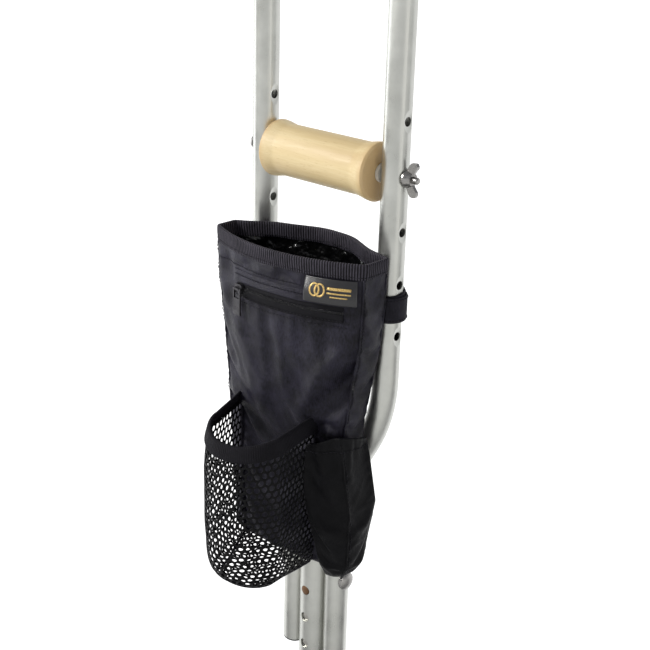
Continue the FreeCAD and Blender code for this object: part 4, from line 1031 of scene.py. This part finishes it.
def bottle_pocket():
    """The net pocket with its elastic band, sewn bottom and side tapes."""
    grid, height = bottle_surface()
    rows, columns = grid.shape[:2]
    width = path_length(grid[10])

    def place(u, v):
        row = min(v / height * (rows - 1), rows - 1.001)
        column = min(u / width * (columns - 1), columns - 1.001)
        top, left = int(row), int(column)
        down, right = row - top, column - left
        upper = grid[top, left] * (1 - right) + grid[top, left + 1] * right
        lower = grid[top + 1, left] * (1 - right) + grid[top + 1, left + 1] * right
        return upper * (1 - down) + lower * down

    points, faces = hexagon_net(width, height, 5.4, 0.77, place)
    net = mesh_object("bottle_net", points, faces, NET, points[:, [0, 2]])
    round_strands(net)
    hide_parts("bottle_pocket_mesh")

    # the bottom is a flat piece of the same net inside the last ring
    rim = grid[-1, ::4]
    low, high = rim.min(axis=0), rim.max(axis=0)
    rim_loop = np.vstack([rim, rim[:1]])
    middle = np.array([*BOTTLE_CENTRE, rim[0, 2]])

    def on_floor(u, v):
        spot = np.array([low[0] - 2 + u, low[1] - 2 + v, rim[0, 2]])
        reach = spot[:2] - middle[:2]
        angle = math.atan2(reach[1], reach[0])
        edges = rim[:, :2] - middle[:2]
        angles = np.arctan2(edges[:, 1], edges[:, 0])
        order = np.argsort(angles)
        limit = np.interp(angle, angles[order], np.linalg.norm(edges, axis=1)[order], period=2 * math.pi)
        length = max(np.linalg.norm(reach), 1e-6)
        shrink = min(1.0, limit / length)
        spot[:2] = middle[:2] + reach * shrink
        spot[2] -= 1.5 * max(0.0, 1 - (length / limit) ** 2)
        return spot

    span = high - low + 4
    points, faces = hexagon_net(span[0], span[1], 5.4, 0.77, on_floor)
    tiny = 1e-3
    faces = [face for face in faces
             if min(np.linalg.norm(points[face[k]] - points[face[(k + 1) % 4]]) for k in range(4)) > tiny]
    floor = mesh_object("bottle_net_floor", points, faces, NET, points[:, :2])
    round_strands(floor)
    ring, ring_faces = tube_mesh(resample(rim_loop, 150), 1.15, 8)
    mesh_object("bottle_floor_seam", ring, ring_faces, WEBBING, ring[:, :2])
    for name, column in (("left", 0), ("right", columns - 1)):
        edge = grid[:, column]
        strip, strip_faces = tube_mesh(resample(edge, 60), 1.5, 8)
        mesh_object(f"bottle_side_seam_{name}", strip, strip_faces, WEBBING, strip[:, [1, 2]])

    # the band: ribbed knit elastic, pulled in a little at its top edge
    rib_pitch, steps = 1.5, 5
    length = path_length(bottle_path(BAND_LOW, MOUTH_RADIUS, 200))
    count = int(length / rib_pitch) * steps
    profile = ((0.0, 2.2), (0.8, 2.4), (3.0, 1.9), (5.6, 1.1), (8.2, 0.5), (9.6, 0.1),
               (10.2, -0.5), (9.9, -1.2))
    rib = 0.2 * np.sin(np.arange(count) * 2 * math.pi / steps)
    centre = np.array([*BOTTLE_CENTRE, 0.0])
    band = []
    for rise, out in profile:
        line = bottle_path(BAND_LOW + rise, MOUTH_RADIUS, count)
        outward = unit((line - centre) * (1, 1, 0))
        sway = np.array([0.5 * ripple((spot[0], spot[1], rise * 2), 0.05, 17) for spot in line])
        line += outward * (out + rib)[:, None]
        line[:, 2] += sway
        band.append(line)
    made = sheet_object("bottle_band", np.array(band), ELASTIC, 1.3, -1.0)
    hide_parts("bottle_pocket_band")
    runs = []
    for rise, out in ((1.4, 2.55), (8.6, 0.65)):
        line = bottle_path(BAND_LOW + rise, MOUTH_RADIUS, 160)
        outward = unit((line - centre) * (1, 1, 0))
        runs.append(stitch_run(line + outward * out, outward, 2.2))
    points, faces = join_meshes(runs)
    mesh_object("bottle_band_stitches", points, faces, THREAD, points[:, [0, 2]])


def round_strands(net):
    """Gives a net of flat strands its yarn thickness."""
    solid = net.modifiers.new("thickness", "SOLIDIFY")
    solid.thickness, solid.offset = 0.9 * MM, 0
    rounded = net.modifiers.new("smooth", "SUBSURF")
    rounded.levels = rounded.render_levels = 1


# ---------------------------------------------------------------- pen pocket
def pen_section(height, front, side):
    """A section of the pen pocket: its front face, the corner seam and its side face."""
    heights = PEN_LEVELS[::-1, 0]
    edge_x, edge_y, seam_x, seam_y, side_x, side_y = (
        float(np.interp(height, heights, PEN_LEVELS[::-1, part])) for part in range(1, 7))
    root = BOTTLE_ROOTS[1]
    wall_x = root[0] + 12.7 * (root[1] - edge_y) / 58.2 + 1.2
    edge = np.array([edge_x, edge_y])
    corner = np.array([seam_x, seam_y])
    if edge[0] < wall_x:
        edge = edge + (corner - edge) * (wall_x - edge[0]) / (corner[0] - edge[0])
    across = np.linspace(edge, corner, front + 1)
    along = np.linspace(corner, (side_x, side_y), side + 1)
    swell = 1.8 * np.sin(np.linspace(0, math.pi, front + 1))
    outward = unit(np.array([(corner - edge)[1], -(corner - edge)[0]]))
    across = across + swell[:, None] * outward
    swell = 2.6 * np.sin(np.linspace(0, math.pi, side + 1))
    along = along + swell[:, None] * np.array([1.0, 0.0])
    return np.vstack([across, along[1:]])


PEN_FRONT, PEN_SIDE = 14, 14


def pen_pocket(walls):
    """The solid cloth pocket on the front right corner, with a stitched hem gathered at its mouth."""
    heights = np.append(np.arange(577, 462, -2.2), 461.0)
    grid = np.zeros((len(heights) + 4, PEN_FRONT + PEN_SIDE + 1, 3))
    for row, height in enumerate(heights):
        grid[row, :, :2] = pen_section(height, PEN_FRONT, PEN_SIDE)
        grid[row, :, 2] = height
    last = grid[len(heights) - 1].copy()
    inner = np.array([50.0, -30.0, 459.6])
    for step, share in enumerate((0.14, 0.34, 0.62, 0.9)):
        row = len(heights) + step
        grid[row] = last + (inner - last) * share
        grid[row, :, 2] = 460.6 - 0.8 * min(1, share * 3)
    corner = PEN_FRONT
    # the mouth is drawn in beside the seam, as elastic or a pinched dart would hold it
    for row, height in enumerate(heights[:12]):
        pull = (1 - row / 12) ** 2
        for column in range(grid.shape[1]):
            away = column - corner
            grid[row, column, 1] += pull * 3.4 * math.exp(-((away + 3.5) / 2.2) ** 2)
            grid[row, column, 2] -= pull * 9 * abs(away / corner) ** 1.2
    pins = np.zeros(grid.shape[:2])
    pins[:, 0] = pins[:, -1] = 1
    pins[-6:] = 1
    pins[0] = 0.6
    pins[:, corner] = 0.35
    settled = settle("pen_cloth", grid, pins, growth=0.05, frames=30, bend=0.35, cap=4.5)
    uv = grid_uv(settled)
    # the pocket's cloth is painted darker than the pouch's: painted shade
    made = sheet_object("pen_pocket_cloth", settled[2:], SHADED_POCKET_NYLON, CLOTH, -1.0,
                        lining=COATED, uv=uv[2 * settled.shape[1]:])
    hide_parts("pen_pocket")
    width, drop = path_length(settled[20]), path_length(settled[:, 6])

    down = np.gradient(settled, axis=0)
    along = np.gradient(settled, axis=1)
    normals = unit(np.cross(down, along))
    hem_rows = 4
    outer = settled[:hem_rows + 1] + normals[:hem_rows + 1] * 0.45
    inner_rows = (settled[:hem_rows + 1] - normals[:hem_rows + 1] * 1.5)[::-1]
    top = (outer[0] + inner_rows[-1]) / 2 + np.array([0, 0, 0.9])
    hem_grid = np.concatenate([outer[::-1], [outer[0] + (0, 0, 0.5)], [top],
                               [inner_rows[-1] + (0, 0, 0.4)], inner_rows[::-1]])
    # the hem uses the same darker cloth: painted shade
    hem = sheet_object("pen_hem", hem_grid, SHADED_POCKET_NYLON, 0.5, 0.0)
    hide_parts("pen_pocket_hem")
    path_length(settled[2]) * MM
    line = settled[hem_rows] + normals[hem_rows] * 0.75
    runs = [stitch_run(line - np.array([0, 0, 0.2]), normals[hem_rows])]
    seam_path = settled[2:-4, corner] + normals[2:-4, corner] * 0.2
    side_rows = settled[4:-6, corner + 1] + normals[4:-6, corner + 1] * 0.1
    runs.append(stitch_run(side_rows, normals[4:-6, corner + 1]))
    points, faces = join_meshes(runs)
    mesh_object("pen_stitches", points, faces, THREAD, points[:, [0, 2]])
    # the corner seam uses the same darker cloth: painted shade
    points, faces = tube_mesh(resample(seam_path, 60), 0.7, 8)
    mesh_object("pen_corner_seam", points, faces, SHADED_POCKET_NYLON, points[:, [0, 2]])


# ---------------------------------------------------------------- straps
def strap_line(side, reach, start, sweep, count, tail=0.0):
    """A path round an upright, in degrees from its outer side, with a straight tail before it."""
    turns = np.radians(start + np.linspace(0, sweep, count))
    ring = np.stack([BOW_X + reach * np.cos(turns), reach * np.sin(turns)], axis=1)
    if tail:
        straight = np.linspace((BOW_X - tail, -reach), (BOW_X - 2, -reach), int(tail / 2))
        ring = np.vstack([straight, ring])
    ring[:, 0] *= side
    return ring


def strap(name, side):
    """A hook-and-loop strap: sewn to the pouch, round the upright, its end pressed on itself."""
    inner = BOW_RADIUS + 0.35
    for piece, reach, start, sweep, tail, high, tilt, thick, slot_material in (
            ("band", inner, -90, 338, 33, STRAP_HEIGHT, 3.2, 1.35, WEBBING),
            ("end", inner + 1.75, -62, 152, 0, STRAP_HEIGHT - 1.0, 0.0, 1.25, WEBBING)):
        line = strap_line(side, reach, start, sweep, 72, tail)
        count = len(line)
        rows = []
        share = np.linspace(0, 1, count)
        lift = tilt * smoothstep(share, 0.25, 0.6) * (1 - smoothstep(share, 0.6, 0.95))
        for rise in np.linspace(-high / 2, high / 2, 11):
            edge = 1 - 0.16 * (abs(rise) / (high / 2)) ** 6
            centre = np.array([side * BOW_X, 0.0])
            near = np.linalg.norm(line - centre, axis=1, keepdims=True)
            bent = np.where(near < reach + 1, centre + (line - centre) * (1 + (edge - 1) * 0.12), line)
            wander = np.array([0.18 * ripple((spot[0], spot[1], rise), 0.11, 31) for spot in line])
            rows.append(np.concatenate([bent, (STRAP_Z + rise + lift + wander)[:, None]], axis=1))
        grid = np.array(rows)
        if side < 0:
            grid = grid[:, ::-1]
        made = sheet_object(f"{name}_strap_{piece}", grid, slot_material, thick, -1.0)
        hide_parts(f"{name}_strap" if piece == "band" else f"{name}_strap_end")
        path_length(line) * MM
        runs = []
        for rise in (-high / 2 + 2.0, high / 2 - 2.0):
            path = np.concatenate([line, (STRAP_Z + rise + lift)[:, None]], axis=1)
            centre = np.array([side * BOW_X, 0.0, 0.0])
            outward = unit((path - centre) * (1, 1, 0))
            runs.append(stitch_run(path + outward * (thick + 0.03), outward, 2.6))
        points, faces = join_meshes(runs)
        mesh_object(f"{name}_strap_{piece}_stitches", points, faces, THREAD, points[:, [1, 2]])


# ---------------------------------------------------------------- underarm pad
def underarm_pad():
    """The foam pad: a soft saddle with rounded ends, moulded ribs and a parting line."""
    low, high = (np.array(corner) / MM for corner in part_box("underarm_pad"))
    length, depth = high[0] - low[0], high[1] - low[1]
    ends, around = 72, 56
    rows = []
    for step in np.linspace(-1, 1, ends):
        x = step * length / 2
        close = max(0.0, (abs(step) - 0.86) / 0.14)
        shrink = math.sqrt(max(0.0, 1 - close ** 2)) * 0.86 + 0.14
        dip = 9 * (1 - min(1, abs(step)) ** 2)
        top = high[2] - dip
        bottom = low[2] + 1.0 * (1 - shrink)
        middle, half = (top + bottom) / 2, (top - bottom) / 2
        rows.append([])
        for turn in np.linspace(0, 2 * math.pi, around, endpoint=False):
            c, s = math.cos(turn), math.sin(turn)
            y = math.copysign(abs(c) ** 0.62, c) * depth / 2
            z = math.copysign(abs(s) ** 0.62, s) * half
            groove = 0.55 * max(0.0, math.cos(x * math.pi / 7)) ** 6 * abs(c) * (abs(step) < 0.84)
            parting = 0.35 * math.exp(-((s - 0.1) / 0.05) ** 2)
            scale = shrink * (1 - (groove + parting) / (depth / 2))
            rows[-1].append((x, y * scale, middle + z * scale))
    grid = np.array(rows)
    faces = grid_faces(ends, around, closed=True)
    faces.append(tuple(range(around)))
    faces.append(tuple(reversed(range((ends - 1) * around, ends * around))))
    made = mesh_object("underarm_cushion", grid.reshape(-1, 3), faces, FOAM)
    rounded = made.modifiers.new("smooth", "SUBSURF")
    rounded.levels = rounded.render_levels = 1
    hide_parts("underarm_pad")


# ---------------------------------------------------------------- frame finishes
FINISHES = {
    ALUMINIUM: ("left_bow", "right_bow", "centre_tube"),
    LEG_ALUMINIUM: ("extension_tube",),
    STEEL: ("upper_cross_bolt", "upper_cross_nut", "lower_cross_bolt", "lower_cross_nut",
            "cross_bolt_washers", "grip_bolt", "wing_nut", "tip_washer", "saddle_rivets",
            "snap_spring"),
    BRASS: ("snap_button",),
    SPACER: ("left_grip_spacer", "right_grip_spacer"),
    WOOD: ("hand_grip",),
    SADDLE_WOOD: ("underarm_saddle",),
    RUBBER: ("rubber_tip",),
    PLASTIC: ("centre_tube_plug", "left_bow_plug", "right_bow_plug"),
    DARK_METAL: ("zip_slider", "zip_pull"),
}


def finish_frame():
    for material, names in FINISHES.items():
        for name in names:
            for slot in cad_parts[name].material_slots:
                slot.link = "OBJECT"
                slot.material = material


# ---------------------------------------------------------------- studio
CAMERA_AZIMUTH, CAMERA_ELEVATION, CAMERA_ROLL = (math.radians(angle) for angle in
                                                 (42.363, 21.409, 1.616))
CAMERA_DISTANCE = 0.86186
CAMERA_LENS = 67.62
GRIP_HEIGHT = 0.76
AIM_RIGHT, AIM_UP = 0.00148, -0.11709
FLOOR_SIZE = 120.0


def camera():
    """The camera, aimed at the pouch from the front right and a little above."""
    a, e, roll = CAMERA_AZIMUTH, CAMERA_ELEVATION, CAMERA_ROLL
    right = Vector((math.cos(a), math.sin(a), 0))
    up = Vector((-math.sin(a) * math.sin(e), math.cos(a) * math.sin(e), math.cos(e)))
    back = Vector((math.sin(a) * math.cos(e), -math.cos(a) * math.cos(e), math.sin(e)))
    aim = Vector((0, 0, GRIP_HEIGHT)) + AIM_RIGHT * right + AIM_UP * up
    across = math.cos(roll) * right + math.sin(roll) * up
    upright = -math.sin(roll) * right + math.cos(roll) * up
    data = bpy.data.cameras.new("camera")
    data.lens = CAMERA_LENS
    data.sensor_width = 36
    data.clip_start, data.clip_end = 0.05, 50
    made = bpy.data.objects.new("camera", data)
    bpy.context.scene.collection.objects.link(made)
    place = Matrix((across, upright, back)).transposed().to_4x4()
    place.translation = aim + CAMERA_DISTANCE * back
    made.matrix_world = place
    bpy.context.scene.camera = made


def soft_light(name, place, aim, width, height, power, colour=(1, 1, 1)):
    data = bpy.data.lights.new(name, "AREA")
    data.shape = "RECTANGLE"
    data.size, data.size_y = width, height
    data.energy = power
    data.color = colour
    made = bpy.data.objects.new(name, data)
    made.location = place
    made.rotation_euler = (Vector(place) - Vector(aim)).to_track_quat("Z", "Y").to_euler()
    made.visible_camera = False
    bpy.context.scene.collection.objects.link(made)


def studio():
    """A white floor, a reflector over it that only lights, four soft lights and pale walls."""
    for name, material, height, seen in (("studio_floor", floor_finish(), 0.0, True),
                                         ("studio_reflector", reflector_finish(), 0.0002, False)):
        half = FLOOR_SIZE / 2
        mesh = bpy.data.meshes.new(name)
        mesh.from_pydata([(-half, -half, height), (half, -half, height), (half, half, height),
                          (-half, half, height)], [], [(0, 1, 2, 3)])
        mesh.materials.append(material)
        ground = bpy.data.objects.new(name, mesh)
        ground.visible_camera = seen
        bpy.context.scene.collection.objects.link(ground)
    middle = (0, 0, 0.62)
    soft_light("key_light", (-1.3, -1.7, 2.0), middle, 0.7, 0.8, 56, (1.0, 0.985, 0.96))
    soft_light("right_light", (2.2, -0.5, 0.8), middle, 0.6, 1.6, 2, (1.0, 0.97, 0.92))
    soft_light("left_light", (-1.9, -0.4, 0.7), middle, 0.5, 1.5, 5, (0.95, 0.98, 1.0))
    soft_light("back_light", (-0.6, 2.2, 1.7), middle, 1.8, 1.4, 10)
    world = bpy.data.worlds.new("studio")
    world.use_nodes = True
    tree = world.node_tree
    coordinates = tree.nodes.new("ShaderNodeTexCoord")
    split = tree.nodes.new("ShaderNodeSeparateXYZ")
    walls = tree.nodes.new("ShaderNodeValToRGB")
    walls.color_ramp.elements[0].position, walls.color_ramp.elements[0].color = 0.1, (1, 1, 1, 1)
    walls.color_ramp.elements[1].position = 0.3
    walls.color_ramp.elements[1].color = (0.33, 0.335, 0.35, 1)
    tree.links.new(coordinates.outputs["Generated"], split.inputs["Vector"])
    tree.links.new(split.outputs["Z"], walls.inputs["Fac"])
    tree.links.new(walls.outputs["Color"], tree.nodes["Background"].inputs["Color"])
    bpy.context.scene.world = world
    bpy.context.scene.view_settings.view_transform = "Standard"


# ---------------------------------------------------------------- build
def pouch():
    walls = Walls(pouch_walls())
    pouch_panels(walls)
    rim_binding(walls)
    corners = {"front_left": 0, "front_right": SIDE_START["right"],
               "back_right": SIDE_START["back"], "back_left": SIDE_START["left"]}
    for name, column in corners.items():
        seam(walls, f"seam_{name}", column, 462, RIM - BINDING_DROP + 1)
    zip_parts(walls)
    label()
    bottle_pocket()
    pen_pocket(walls)
    strap("left", -1)
    strap("right", 1)


camera()
studio()
finish_frame()
pouch()
underarm_pad()
